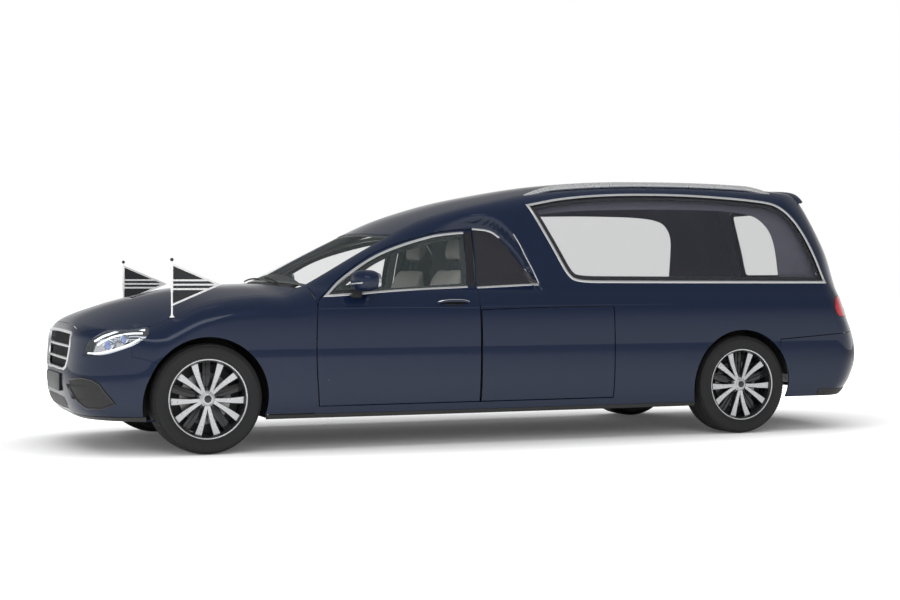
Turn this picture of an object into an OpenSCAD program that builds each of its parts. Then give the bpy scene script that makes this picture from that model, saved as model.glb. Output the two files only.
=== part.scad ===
/* [Overall] */
// Distance between the axles
wheelbase = 3740; // [3110:10:4500]
// From the front axle to the foremost point
front_overhang = 796; // [663:1:955]
// From the rear axle to the rearmost point
rear_overhang = 1177; // [980:1:1413]
// Width over the body sides, without mirrors
body_w = 1852; // [1540:2:2230]

/* [Wheels] */
// Tyre outer radius, which is also the hub height
tyre_r = 338; // [325:1:350]
// Tyre section width
tyre_w = 245; // [200:5:295]
// Radius of the rim's outer lip
rim_r = 246; // [225:1:260]
// Gap between the tyre's outer wall and the widest body section
tyre_inset = 12; // [8:1:40]
// Gap between tyre and wheel arch lip
arch_gap = 38; // [34:1:50]
// Number of spoke pairs
spoke_pairs = 5; // [4:1:7]

/* [Panels] */
// Shut gap around doors, bonnet, hatches and tailgate
shut_gap = 6; // [5:0.5:9]
// Fitting gap between panels that do not move
fit_gap = 0.5; // [0.3:0.1:0.9]
// Thickness of an outer door or lid skin with its hem
skin_t = 22; // [16:1:26]
// Thickness of a whole door
door_t = 105; // [85:5:130]
// Thickness of the body side wall with its lining
wall_t = 62; // [50:2:80]
// Thickness of the roof panel
roof_t = 18; // [14:1:24]
// Thickness of the glass
glass_t = 5; // [4:0.5:8]
// Depth of the glass below the surface around it
glass_drop = 4; // [2:0.5:6]

/* [Fittings] */
// Radius of the hinge pins
pin_r = 5; // [4:0.25:5.25]
// Running clearance around the pins
pin_gap = 0.3; // [0.2:0.05:0.5]
// Height of the pennants' staffs
staff_h = 430; // [300:10:600]
// Height of a roof rail above the roof
rail_h = 34; // [24:2:50]

/* [Hidden] */

half = body_w / 2;
length = front_overhang + wheelbase + rear_overhang;
fa = length / 2 - front_overhang;
ra = fa - wheelbase;
hub_z = tyre_r;
wheel_y = half - tyre_inset - tyre_w / 2;
arch_r = tyre_r + arch_gap;

// ---- curves: each table is [position, value] in rising order --------------------------------
function clamp(u, lo, hi) = min(max(u, lo), hi);
function ease(u) = let (c = clamp(u, 0, 1)) c * c * (3 - 2 * c);
function mix(a, b, u) = a + (b - a) * u;
function span(t, x, i = 0) = (i >= len(t) - 2 || x < t[i + 1][0]) ? i : span(t, x, i + 1);
function slope(t, i) =
    let (a = t[max(i - 1, 0)], b = t[min(i + 1, len(t) - 1)]) (b[1] - a[1]) / (b[0] - a[0]);
function curve(t, x) =
    let (c = clamp(x, t[0][0], t[len(t) - 1][0]), i = span(t, c), h = t[i + 1][0] - t[i][0],
         u = (c - t[i][0]) / h, p = slope(t, i) * h, q = slope(t, i + 1) * h)
    t[i][1] * (2 * u ^ 3 - 3 * u ^ 2 + 1) + p * (u ^ 3 - 2 * u ^ 2 + u)
    + t[i + 1][1] * (3 * u ^ 2 - 2 * u ^ 3) + q * (u ^ 3 - u ^ 2);
function smax(a, b, k) = let (h = max(k - abs(a - b), 0) / k) max(a, b) + h * h * k / 4;

// ---- the body's surface ----------------------------------------------------------------------
// Height of the centre line: [x, z]
CENTRE = [
    [ra - 900, 1690], [ra - 700, 1706], [ra - 410, 1733], [ra - 150, 1752], [ra + 190, 1764],
    [ra + 590, 1762], [fa - 2850, 1748], [fa - 2520, 1718], [fa - 2310, 1688], [fa - 2062, 1643],
    [fa - 1862, 1601], [fa - 1662, 1546], [fa - 1460, 1478], [fa - 1241, 1383], [fa - 1024, 1286],
    [fa - 792, 1174], [fa - 560, 1060], [fa - 500, 1038], [fa - 330, 1030], [fa - 140, 1022],
    [fa + 80, 998], [fa + 350, 938], [fa + 530, 886], [fa + 680, 826], [fa + 760, 760],
    [fa + 800, 690]
];
// How far the surface falls from the centre line at four fifths of the half width: [x, fall]
CROWN = [
    [ra - 700, 84], [fa - 2500, 84], [fa - 2000, 74], [fa - 1500, 72], [fa - 1250, 84],
    [fa - 1000, 96], [fa - 680, 100], [fa - 500, 72], [fa - 330, 64], [fa + 0, 84],
    [fa + 200, 126], [fa + 330, 150], [fa + 560, 130], [fa + 760, 60]
];
// How far the side lies inside the widest section, over the cab: [z, inset]
CAB_SIDE = [
    [160, 84], [200, 60], [240, 40], [300, 22], [420, 6], [560, 0], [700, 2], [800, 8],
    [870, 17], [905, 27], [950, 48], [985, 70], [1012, 104], [1040, 126], [1150, 158], [1250, 195],
    [1350, 238], [1450, 290], [1560, 360], [1700, 470]
];
// The same over the load space: [z, inset]
LOAD_SIDE = [
    [160, 84], [200, 60], [240, 40], [300, 22], [420, 6], [560, 0], [700, 2], [800, 8],
    [870, 17], [905, 27], [950, 48], [985, 66], [1012, 76], [1040, 83], [1150, 102], [1250, 120],
    [1350, 144], [1450, 174], [1560, 216], [1640, 258], [1700, 300], [1780, 370]
];
// Lower edge of the wide load body where it arches over the cab's side windows: [x, z]
ARCH = [
    [fa - 2244, 985], [fa - 2210, 1075], [fa - 2139, 1246], [fa - 2069, 1367], [fa - 1987, 1452],
    [fa - 1917, 1488], [fa - 1797, 1500], [fa - 1547, 1432], [fa - 1247, 1320], [fa - 847, 1090]
];
// Height over which the side steps in below that edge: [x, height]
ARCH_STEP = [[fa - 2244, 26], [fa - 2139, 90], [fa - 1987, 115], [fa - 847, 80]];
// Foremost line: [z, x]
FRONT = [
    [160, fa + 560], [200, fa + 660], [240, fa + 730], [300, fa + 768], [380, fa + 782],
    [470, fa + 784], [560, fa + 778], [650, fa + 771], [740, fa + 764], [800, fa + 752],
    [900, fa + 700]
];
// Rearmost line: [z, x]
REAR = [
    [160, ra - 980], [240, ra - 1047], [310, ra - 1097], [365, ra - 1128], [475, ra - 1162],
    [580, ra - 1160], [690, ra - 1134], [780, ra - 1100], [860, ra - 1072], [940, ra - 1052],
    [1057, ra - 1023], [1240, ra - 975], [1470, ra - 880], [1660, ra - 790], [1760, ra - 735]
];
front_bow = 500;
rear_bow = 300;
barrel = 8;

function load_share(x, z) =
    ease((fa - 1247 - x) / 700) * ease((z - curve(ARCH, x)) / curve(ARCH_STEP, x) + 1);
function side_y(x, z) =
    half - mix(curve(CAB_SIDE, z), curve(LOAD_SIDE, z), load_share(x, z))
    - barrel * (x / (length / 2)) ^ 2;
function top_z(x, y) = curve(CENTRE, x) - curve(CROWN, x) * (abs(y) / (0.81 * half)) ^ 2.3;
function front_x(y, z) = curve(FRONT, z) - front_bow * (abs(y) / half) ^ 5;
function rear_x(y, z) = curve(REAR, z) + rear_bow * (abs(y) / (half - curve(LOAD_SIDE, z))) ^ 4;
function outside(x, y, z) =
    smax(smax(y - side_y(x, z), z - top_z(x, y), 100),
         max(x - front_x(y, z), rear_x(y, z) - x), 60);
// Height of the surface over x and y, and its distance along a ray, by halving the interval
function skin_z(x, y, lo = 560, hi = 1900, n = 15) =
    n == 0 ? (lo + hi) / 2 : let (m = (lo + hi) / 2)
    outside(x, y, m) > 0 ? skin_z(x, y, lo, m, n - 1) : skin_z(x, y, m, hi, n - 1);
function ray(x, a, z, lo = 0, hi = 1500, n = 15) =
    n == 0 ? (lo + hi) / 2 : let (m = (lo + hi) / 2)
    outside(x - m * sin(a), abs(m * cos(a)), z) > 0 ? ray(x, a, z, lo, m, n - 1) : ray(x, a, z, m, hi,
        n - 1);

// ---- slabs that follow the surface -----------------------------------------------------------
// A closed slab from a function p(s, t) that gives [surface point, inward direction], between two
// depths under the surface. Seen from outside, s runs to the right on the left side of the car.
module slab(ns, nt, near, far, p) {
    m = nt + 1;
    k = (ns + 1) * m;
    skin = [for (i = [0:ns], j = [0:nt]) p(i / ns, j / nt)];
    points = concat([for (q = skin) q[0] + near * q[1]], [for (q = skin) q[0] + far * q[1]]);
    a = function (i, j) i * m + j;
    faces = concat(
        [for (i = [0:ns - 1], j = [0:nt - 1]) each
            [[a(i, j), a(i + 1, j), a(i + 1, j + 1)], [a(i, j), a(i + 1, j + 1), a(i, j + 1)]]],
        [for (i = [0:ns - 1], j = [0:nt - 1]) each
            [[k + a(i, j), k + a(i + 1, j + 1), k + a(i + 1, j)],
             [k + a(i, j), k + a(i, j + 1), k + a(i + 1, j + 1)]]],
        [for (i = [0:ns - 1]) each
            [[a(i, 0), k + a(i, 0), k + a(i + 1, 0)], [a(i, 0), k + a(i + 1, 0), a(i + 1, 0)],
             [a(i, nt), k + a(i + 1, nt), k + a(i, nt)], [a(i, nt), a(i + 1, nt), k + a(i + 1, nt)]]],
        [for (j = [0:nt - 1]) each
            [[a(0, j), k + a(0, j + 1), k + a(0, j)], [a(0, j), a(0, j + 1), k + a(0, j + 1)],
             [a(ns, j), k + a(ns, j), k + a(ns, j + 1)], [a(ns, j), k + a(ns, j + 1), a(ns, j + 1)]]]
    );
    polyhedron(points, faces, convexity = 8);
}
// Surface point and inward direction on the ray that leaves the centre line at x, turned by a
// degrees from the left side towards the tail, at height z
function ring(x, a, z) =
    let (r = ray(x, a, z)) [[x - r * sin(a), r * cos(a), z], [sin(a), -cos(a), 0]];
// The left side, between two stations and two heights
module side_slab(x0, x1, z0, z1, ns, nt, near, far) {
    slab(ns, nt, near, far, function (s, t) ring(mix(x0, x1, s), 0, mix(z0, z1, t)));
}
// Around a corner or an end, between two angles
module turn_slab(x, a0, a1, z0, z1, ns, nt, near, far) {
    slab(ns, nt, near, far, function (s, t) ring(x, mix(a0, a1, s), mix(z0, z1, t)));
}
// The top, between two stations and half widths
module top_slab(x0, x1, w, ns, nt, near, far) {
    slab(ns, nt, near, far, function (s, t)
        let (x = mix(x0, x1, s), y = w * (1 - 2 * t)) [[x, y, skin_z(x, abs(y))], [0, 0, -1]]);
}
// Prisms: an outline seen from the left side [x, z], from above [x, y] or from the rear [y, z]
module side_prism(outline, grow = 0, y0 = 0, y1 = 1400) {
    translate([0, y1, 0]) rotate([90, 0, 0]) linear_extrude(y1 - y0) offset(delta = grow) polygon(outline);
}
module top_prism(outline, grow = 0) {
    translate([0, 0, -100]) linear_extrude(2400) offset(delta = grow) polygon(outline);
}
module rear_prism(outline, grow = 0, x0 = -4000, x1 = 4000) {
    translate([x0, 0, 0]) rotate([90, 0, 90]) linear_extrude(x1 - x0) offset(delta = grow) polygon(outline);
}
function both(outline) =
    concat(outline, [for (i = [len(outline) - 1:-1:0]) [outline[i][0], -outline[i][1]]]);
function both_y(outline) =
    concat(outline, [for (i = [len(outline) - 1:-1:0]) [-outline[i][0], outline[i][1]]]);
// Shells are worked out as meshes
module shell(tint) color(tint) resize([0, 0, 0]) children();
module left_right(side) {
    if (side > 0) children(); else mirror([0, 1, 0]) children();
}

// ---- outlines ----------------------------------------------------------------------------
door_front = fa - 686;
door_rear = fa - 1786;
hatch_rear = fa - 2751;
sill_z = 272;
belt_front_z = 946;
function belt_z(x) = curve([[ra, 1052], [fa - 2650, 1050], [fa - 2235, 1028], [fa - 1800, 1006],
                            [fa - 1262, 982], [fa - 718, belt_front_z], [fa, 940]], x);
DOOR = [
    [door_rear + 2, sill_z], [door_front - 14, sill_z], [door_front + 2, 440], [door_front + 10, 620],
    [door_front + 4, 800], [door_front - 8, 915], [door_front - 32, 950],
    [fa - 882, 1082], [fa - 1000, 1163], [fa - 1104, 1224], [fa - 1220, 1274], [fa - 1334, 1312],
    [fa - 1440, 1342], [fa - 1556, 1369], [fa - 1698, 1388], [door_rear - 30, 1394],
    [door_rear - 4, 1006], [door_rear, 900]
];
// Window opening in the door, and the front corner of the glass behind the mirror's foot
DOOR_WINDOW = [
    [fa - 1726, 1019], [fa - 1262, 998], [fa - 770, 966], [fa - 890, 1058], [fa - 1008, 1137],
    [fa - 1112, 1196], [fa - 1228, 1246], [fa - 1342, 1284], [fa - 1448, 1314],
    [fa - 1560, 1340], [fa - 1700, 1358], [fa - 1753, 1361]
];
QUARTER_WINDOW = [
    [fa - 2225, 1036], [door_rear - 14, 1015], [door_rear - 40, 1388], [fa - 1915, 1380], [fa - 1960, 1364],
    [fa - 2000, 1333], [fa - 2040, 1290], [fa - 2082, 1235], [fa - 2125, 1170], [fa - 2166, 1115]
];
LOAD_WINDOW = [
    [fa - 2214, 1552], [fa - 2408, 1172], [fa - 2448, 1105], [fa - 2486, 1070], [fa - 2560, 1056],
    [fa - 2680, 1052], [ra - 400, 1048], [ra - 716, 1048], [ra - 690, 1115], [ra - 664, 1185],
    [ra - 602, 1330], [ra - 552, 1425], [ra - 500, 1500], [ra - 440, 1556], [ra - 370, 1590],
    [ra - 250, 1608], [ra - 50, 1624], [ra + 330, 1640], [ra + 740, 1638], [fa - 2690, 1622],
    [fa - 2440, 1594]
];
HATCH = [
    [door_rear - 2, sill_z], [hatch_rear, sill_z], [hatch_rear, 886], [fa - 2300, 882],
    [door_rear - 2, 870]
];
HEADLIGHT = [
    [fa + 705, 606], [fa + 640, 604], [fa + 560, 622], [fa + 470, 656], [fa + 400, 694],
    [fa + 352, 732], [fa + 336, 764], [fa + 346, 786], [fa + 400, 792], [fa + 480, 786],
    [fa + 560, 766], [fa + 630, 730], [fa + 680, 680]
];
BONNET = both([
    [fa - 480, 0], [fa - 500, 260], [fa - 545, 500], [fa - 612, 690], [fa - 560, 742],
    [fa - 330, 764], [fa - 50, 782], [fa + 200, 790], [fa + 350, 776], [fa + 500, 738],
    [fa + 600, 694], [fa + 680, 628], [fa + 716, 540], [fa + 724, 300], [fa + 726, 0]
]);
WINDSCREEN = both([
    [fa - 540, 0], [fa - 556, 260], [fa - 606, 520], [fa - 662, 706], [fa - 977, 652],
    [fa - 1282, 592], [fa - 1240, 400], [fa - 1226, 200], [fa - 1221, 0]
]);
ROOF_SIDE = [[ra - 720, 560], [ra - 400, 592], [ra + 400, 600], [fa - 2250, 588], [fa - 1850, 584],
             [fa - 1282, 592]];
tail_cut = ra - 650;
ROOF = both(concat([[fa - 1221, 0], [fa - 1226, 200], [fa - 1240, 400]],
    [for (i = [5:-1:0]) [max(ROOF_SIDE[i][0], tail_cut), ROOF_SIDE[i][1]]], [[tail_cut, 0]]));
// Tailgate seen from the rear: [y, z]
TAILGATE = both_y([
    [0, 668], [560, 672], [612, 700], [620, 770], [640, 900], [660, 1000], [650, 1150],
    [628, 1300], [598, 1450], [566, 1600], [556, 1800], [0, 1800]
]);
TAIL_WINDOW = both_y([
    [0, 1062], [560, 1062], [592, 1090], [590, 1180], [566, 1330], [534, 1470], [505, 1560],
    [470, 1588], [0, 1600]
]);
TAIL_LAMP = [[668, 824], [690, 798], [1000, 800], [1000, 960], [690, 944], [670, 925]];
bumper_front_z = 604;
bumper_rear_z = 668;
GRILLE = both_y([
    [0, 500], [330, 502], [400, 520], [432, 560], [458, 640], [466, 700], [456, 732], [420, 742], [0, 748]
]);

module arches(y0, y1, grow = 0) {
    for (x = [fa, ra]) translate([x, y1, hub_z]) rotate([90, 0, 0])
        cylinder(r = arch_r + grow, h = y1 - y0, $fn = 96);
}
module roof_side_cut(grow = 0) {
    top_prism(both(concat([[fa - 400, 0], [fa - 560, 742], [fa - 662, 706 + 2], [fa - 977, 654],
        [fa - 1282, 592]],
        [for (i = [4:-1:0]) ROOF_SIDE[i]], [[ra - 900, 540], [ra - 900, 0]])), grow);
}

// ---- fixed body --------------------------------------------------------------------------
corner_x = ra - 300;
nose_turn_x = fa + 280;
seam_y = 592;
// The side: around the tail corner, then forward to the door
module side_panel(side) left_right(side) shell("midnightblue") difference() {
    slab(36, 15, 0, wall_t, function (s, t)
        let (a = max(0, 58 * (1 - s / 0.25)), x = mix(corner_x, fa - 560, clamp((s - 0.25) / 0.75, 0, 1)),
             xe = max(x - seam_y * tan(a), ra - 725),
             ye = x > fa - 1282 ? mix(592, 700, (x - fa + 1282) / 722) : min(seam_y - 30, (x - xe)
                 / tan(a + 0.01)),
             top = skin_z(xe, ye))
        ring(x, a, mix(196, top, 1 - (1 - t) ^ 1.25)));
    side_prism(DOOR, shut_gap / 2);
    side_prism(HATCH, shut_gap / 2);
    side_prism([[door_rear - 60, sill_z - 1], [door_front + 200, sill_z - 1],
        [door_front + 200, 960], [door_rear - 60, 860]], 0, 0, half - 130);
    side_prism(QUARTER_WINDOW);
    side_prism(LOAD_WINDOW);
    roof_side_cut(fit_gap);
    rear_prism(TAILGATE, shut_gap / 2, ra - 1400, ra - 500);
    rear_prism(TAIL_LAMP, fit_gap, ra - 1400, ra - 765);
    arches(0, 1200);
    side_prism([[ra - 1400, 0], [ra - 1400, bumper_rear_z + 40], [ra - 300, bumper_rear_z - 20],
        [ra - 300, 0]], fit_gap);
    side_prism([[fa - 670, 0], [fa - 686, 1400], [fa + 300, 1400], [fa + 300, 0]], fit_gap);
}
module fender(side) left_right(side) shell("midnightblue") difference() {
    slab(18, 10, 0, skin_t, function (s, t)
        let (x = mix(fa - 690, fa + 460, s)) ring(x, 0, mix(230, skin_z(x, 600), t)));
    top_prism(BONNET, shut_gap / 2);
    arches(0, 1200);
    side_prism(HEADLIGHT, fit_gap);
    side_prism([[fa + 280, 0], [fa + 300, 560], [fa + 480, 606], [fa + 1000, 606], [fa + 1000, 0]]);
    side_prism(DOOR, shut_gap);
    side_prism([[fa - 670, 0], [fa - 800, 0], [fa - 800, 1400], [fa - 686, 1400]]);
    top_prism([[fa - 560, 0], [fa - 560, 740], [fa - 700, 700], [fa - 700, 0]]);
    side_prism([[fa + 450, 0], [fa + 450, 1200], [fa + 1000, 1200], [fa + 1000, 0]]);
}
module cowl() shell("black") difference() {
    top_slab(fa - 662, fa - 440, 690, 4, 12, glass_drop + glass_t + 3, 30);
    top_prism(BONNET, 12);
    for (s = [1, -1]) translate([fa - 700, s * lid_y - 52, 0]) cube([400, 104, 1200]);
}
module windscreen() shell([0.4, 0.5, 0.5, 0.5]) intersection() {
    top_slab(fa - 1300, fa - 500, 760, 6, 12, glass_drop, glass_drop + glass_t);
    top_prism(WINDSCREEN, -fit_gap / 2);
}
module roof() shell("midnightblue") intersection() {
    top_slab(tail_cut - 20, fa - 1200, 640, 15, 18, 0, roof_t);
    top_prism(ROOF, -fit_gap / 2);
}
module side_windows() shell([0.3, 0.32, 0.34, 0.6]) for (side = [1, -1]) left_right(side) {
    intersection() {
        side_slab(ra - 760, fa - 2180, 1030, 1660, 14, 5, glass_drop, glass_drop + glass_t);
        side_prism(LOAD_WINDOW, -fit_gap);
    }
    intersection() {
        side_slab(fa - 2260, fa - 1800, 1000, 1400, 4, 4, glass_drop, glass_drop + glass_t);
        side_prism(QUARTER_WINDOW, -fit_gap);
    }
}
module front_bumper() shell("midnightblue") difference() {
    turn_slab(nose_turn_x, 4, -184, 206, 772, 30, 9, 0, skin_t);
    for (side = [1, -1]) left_right(side) {
        side_prism(HEADLIGHT, fit_gap);
        arches(0, 1200);
        side_prism([[fa + 200, 560], [fa + 300, 560 - fit_gap], [fa + 480, 606 - fit_gap],
            [fa + 480, 900], [fa + 200, 900]]);
    }
    translate([fa, -1000, 606]) cube([450 + fit_gap, 2000, 400]);
    top_prism(BONNET, shut_gap / 2);
    rear_prism(GRILLE, fit_gap, fa, fa + 1000);
}
module grille() shell("dimgray") intersection() {
    difference() {
        turn_slab(nose_turn_x, -30, -150, 490, 760, 10, 5, -8, 30);
        rear_prism(GRILLE, -26, fa, fa + 1000);
    }
    rear_prism(GRILLE, 0, fa, fa + 1000);
    translate([fa + 726 + shut_gap, -600, 0]) cube([400, 1200, 1000]);
}
module headlights() shell("silver") for (side = [1, -1]) left_right(side) difference() {
    intersection() {
        turn_slab(nose_turn_x, -2, -48, 590, 800, 8, 4, 2, 60);
        side_prism(HEADLIGHT);
    }
    top_prism(BONNET, shut_gap);
}
module rear_bumper() shell("midnightblue") difference() {
    turn_slab(corner_x, 178, 2, 240, 720, 34, 8, 0, skin_t);
    for (side = [1, -1]) left_right(side) {
        arches(0, 1200);
        side_prism([[ra - 1400, 900], [ra - 1400, bumper_rear_z + 40], [ra - 300, bumper_rear_z - 20],
            [ra - 300, 900]]);
    }
    rear_prism(TAILGATE, shut_gap / 2, ra - 1400, ra - 500);
}
module tail_lamps() shell("firebrick") for (side = [1, -1]) left_right(side) intersection() {
    turn_slab(corner_x, 60, 20, 780, 970, 8, 4, 1, 50);
    rear_prism(TAIL_LAMP, 0, ra - 1400, ra - 765 - fit_gap);
}
module bonnet() shell("midnightblue") {
    intersection() {
        top_slab(fa - 630, fa + 740, 800, 16, 14, 0, skin_t);
        top_prism(BONNET, -shut_gap / 2);
    }
    for (s = [1, -1]) translate([0, s * lid_y + lid_arm_w / 2, 0]) rotate([90, 0, 0])
        linear_extrude(lid_arm_w) difference() {
            polygon([[lid_x - 10, lid_z - 10], [lid_x + 80, lid_z - 46], [lid_x + 150, lid_z - 46],
                [lid_x + 150, lid_z + 4], [lid_x + 80, lid_z + 4], [lid_x + 60, lid_z - 16],
                [lid_x + 10, lid_z + 9], [lid_x - 10, lid_z + 9]]);
            translate([lid_x, lid_z]) circle(r = pin_r + pin_gap, $fn = 24);
        }
}

// ---- doors, hatches and tailgate -----------------------------------------------------------
// Side hinges: an upright pin this far under the widest section and behind the front edge, with a
// fixed eye in a pocket of the skin and an arm that goes around the edge's swing to the post
hinge_depth = 14;
hinge_back = 70;
hinge_zs = [430, 690];
eye_r = 9;
eye_h = 12;
arm_in = half - 112;
module hinge_pocket(edge) for (z = hinge_zs) {
    translate([edge - hinge_back, half - hinge_depth, z - 24]) cylinder(r = pin_r + pin_gap, h = 60,
        $fn = 24);
    translate([edge - hinge_back - eye_r - 5, half - 150, z - 3])
        cube([eye_r + 5 + 62, 150 - hinge_depth + eye_r + 0.5, eye_h + 6]);
}
// Bonnet hinge: a cross pin behind the bonnet's rear edge, under the cowl
lid_x = fa - 640;
lid_z = 980;
lid_y = 640;
lid_arm_w = 14;
// Tailgate hinge: a cross pin just under the roof's rear edge
gate_gap = 12;
gate_edge = tail_cut - gate_gap;
gate_x = gate_edge - 9;
gate_z = skin_z(gate_edge, 0) - 6;
gate_y = 150;
gate_arm_w = 12;
module hinges() color("dimgray") {
    for (s = [1, -1]) {
        for (edge = [door_front, door_rear]) {
            // Post
            translate([edge + 8, s > 0 ? arm_in - 38 : -arm_in, pan_z + pan_t]) cube([42, 38, 640]);
            for (z = hinge_zs) translate([edge - hinge_back, 0, z]) {
                translate([0, s * (half - hinge_depth), -20]) cylinder(r = pin_r, h = 52, $fn = 48);
                translate([0, s * (half - hinge_depth), 0]) cylinder(r = eye_r, h = eye_h, $fn = 48);
                translate([-eye_r + 2, s > 0 ? arm_in - 14 : -half + hinge_depth, 0])
                    cube([2 * eye_r - 4, half - hinge_depth - arm_in + 14, eye_h]);
                translate([-eye_r + 2, s > 0 ? arm_in - 14 : -arm_in, 0]) cube([hinge_back + 20, 14,
                    eye_h]);
            }
        }
        // Bonnet pin and its bracket on the bulkhead
        translate([lid_x, s > 0 ? lid_y - 16 : -lid_y - 38, lid_z]) rotate([-90, 0, 0])
            cylinder(r = pin_r, h = 54, $fn = 48);
        translate([0, s > 0 ? lid_y + 38 : -lid_y - 24, 0]) rotate([90, 0, 0]) linear_extrude(14)
            polygon([[fa - 470, 800], [fa - 470, 875], [lid_x + 12, lid_z + 10], [lid_x - 12, lid_z + 10],
                [lid_x - 12, lid_z - 20], [fa - 510, 800]]);
        // Tailgate pin and its arm under the roof
        translate([gate_x, s * gate_y - 30, gate_z]) rotate([-90, 0, 0]) cylinder(r = pin_r, h = 60,
            $fn = 48);
        translate([gate_x - 4, s * gate_y - gate_arm_w / 2, gate_z - 34]) cube([8, gate_arm_w, 34]);
        translate([gate_x - 4, s * gate_y - gate_arm_w / 2, gate_z - 38]) cube([140, gate_arm_w, 12]);
        translate([gate_x + 100, s * gate_y - 20, gate_z - 38]) cube([40, 40,
            skin_z(gate_x + 100, gate_y + 20) - roof_t - 2 * seat_gap - gate_z + 38]);
    }
}
module front_door(side) left_right(side) shell("midnightblue") difference() {
    union() {
        intersection() {
            side_slab(fa - 1880, fa - 660, 260, 1410, 10, 15, 0, skin_t);
            side_prism(DOOR, -shut_gap / 2);
        }
        intersection() {
            side_slab(fa - 1880, fa - 660, 260, 1410, 3, 8, skin_t - 6, door_t);
            side_prism([[door_rear + 62, sill_z + 34], [door_front - 150, sill_z + 34],
                [door_front - 150, 930], [door_rear + 62, 975]]);
        }
    }
    side_prism(DOOR_WINDOW);
    hinge_pocket(door_front);
}
module door_glass(side) left_right(side) shell([0.3, 0.32, 0.34, 0.6]) intersection() {
    side_slab(fa - 1880, fa - 700, 950, 1390, 8, 5, glass_drop, glass_drop + glass_t);
    side_prism(DOOR_WINDOW, -fit_gap);
}
// Housing on a foot that stands on the door just under the glass
module door_mirror(side) left_right(side) shell("midnightblue") {
    x = fa - 978;
    y = half + 20;
    z = belt_front_z + 106;
    foot = ring(fa - 950, 0, belt_z(fa - 950) - 8)[0];
    hull() for (p = [[-20, -48, 8], [-26, 66, 14], [78, -36, -4], [40, 62, 0]], dz = [-42, 34])
        translate([x + p[0], y + p[1], z + p[2] + dz]) sphere(r = 26, $fn = 12);
    hull() {
        translate([x + 20, y - 20, z - 44]) cube([70, 30, 20], center = true);
        translate(foot + [0, 14, 0]) cube([90, 18, 20], center = true);
    }
}
module side_hatch(side) left_right(side) shell("midnightblue") difference() {
    union() {
        intersection() {
            side_slab(hatch_rear - 20, door_rear + 10, 260, 900, 5, 8, 0, skin_t);
            side_prism(HATCH, -shut_gap / 2);
        }
        intersection() {
            side_slab(hatch_rear - 20, door_rear + 10, 260, 900, 3, 4, skin_t - 6, wall_t);
            side_prism([[hatch_rear + 40, sill_z + 34], [door_rear - 150, sill_z + 34],
                [door_rear - 150, 846], [hatch_rear + 40, 846]]);
        }
    }
    hinge_pocket(door_rear);
}
tailgate_t = 42;
module tailgate() shell("midnightblue") difference() {
    union() {
        intersection() {
            turn_slab(corner_x, 146, 34, 660, 1700, 12, 12, 0, tailgate_t);
            rear_prism(TAILGATE, -shut_gap / 2);
            translate([ra - 1400, -700, 0]) cube([1400 + gate_edge - ra, 1400, 2000]);
        }
        intersection() {
            top_slab(ra - 780, ra - 640, 570, 3, 12, 0, roof_t);
            rear_prism(TAILGATE, -shut_gap / 2);
            translate([ra - 1400, -700, 1500]) cube([1400 + gate_edge - ra, 1400, 400]);
        }
    }
    rear_prism(TAIL_WINDOW);
    for (s = [1, -1]) translate([gate_x, s * gate_y, gate_z]) {
        rotate([90, 0, 0]) cylinder(r = pin_r + pin_gap, h = 64, center = true, $fn = 24);
        translate([-10, -gate_arm_w / 2 - 2, -60]) cube([60, gate_arm_w + 4, 100]);
    }
}
module tailgate_glass() shell([0.3, 0.32, 0.34, 0.6]) intersection() {
    turn_slab(corner_x, 146, 34, 1050, 1620, 10, 5, glass_drop, glass_drop + glass_t);
    rear_prism(TAIL_WINDOW, -fit_gap);
}

// ---- wheels and what carries them ------------------------------------------------------------
module turned(side, x, y) translate([x, side * y, hub_z]) rotate([side > 0 ? -90 : 90, 0, 0]) children();
bead = 18;
module tyre(side, x) color("black") turned(side, x, wheel_y) rotate_extrude($fn = 96) polygon([
    [rim_r - bead, -tyre_w / 2 + 16], [rim_r + 6, -tyre_w / 2 + 4], [rim_r + 44, -tyre_w / 2],
    [tyre_r - 22, -tyre_w / 2 + 8], [tyre_r - 4, -tyre_w / 2 + 30], [tyre_r, -tyre_w / 2 + 60],
    [tyre_r, tyre_w / 2 - 60], [tyre_r - 4, tyre_w / 2 - 30], [tyre_r - 22, tyre_w / 2 - 8],
    [rim_r + 44, tyre_w / 2], [rim_r + 6, tyre_w / 2 - 4], [rim_r - bead, tyre_w / 2 - 16]
]);
seat_gap = 0.3;
rim_in = rim_r - bead - seat_gap;
barrel_t = 12;
face_z = tyre_w / 2 - 24;
hub_bore_r = 30;
bore_gap = 0.08;
hub_r = 74;
disc_z = face_z - 82;
disc_t = 12;
spoke_w = 20;
module wheel(side, x) color("silver") turned(side, x, wheel_y) {
    difference() {
        cylinder(r = rim_in, h = tyre_w - 32, center = true, $fn = 96);
        cylinder(r = rim_in - barrel_t, h = tyre_w, center = true, $fn = 96);
    }
    for (i = [0:spoke_pairs - 1], j = [-1, 1]) rotate([0, 0, 360 / spoke_pairs * i + 90 + j * 16])
        translate([40, -spoke_w / 2, face_z - 26]) cube([rim_in - 46, spoke_w, 22]);
    difference() {
        translate([0, 0, face_z - 70]) cylinder(r = hub_r, h = 66, $fn = 48);
        translate([0, 0, face_z - 71]) cylinder(r = hub_bore_r, h = 50, $fn = 48);
    }
    translate([0, 0, disc_z]) difference() {
        cylinder(r = 160, h = disc_t, $fn = 72);
        translate([0, 0, -1]) cylinder(r = hub_bore_r, h = disc_t + 2, $fn = 48);
    }
}
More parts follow.
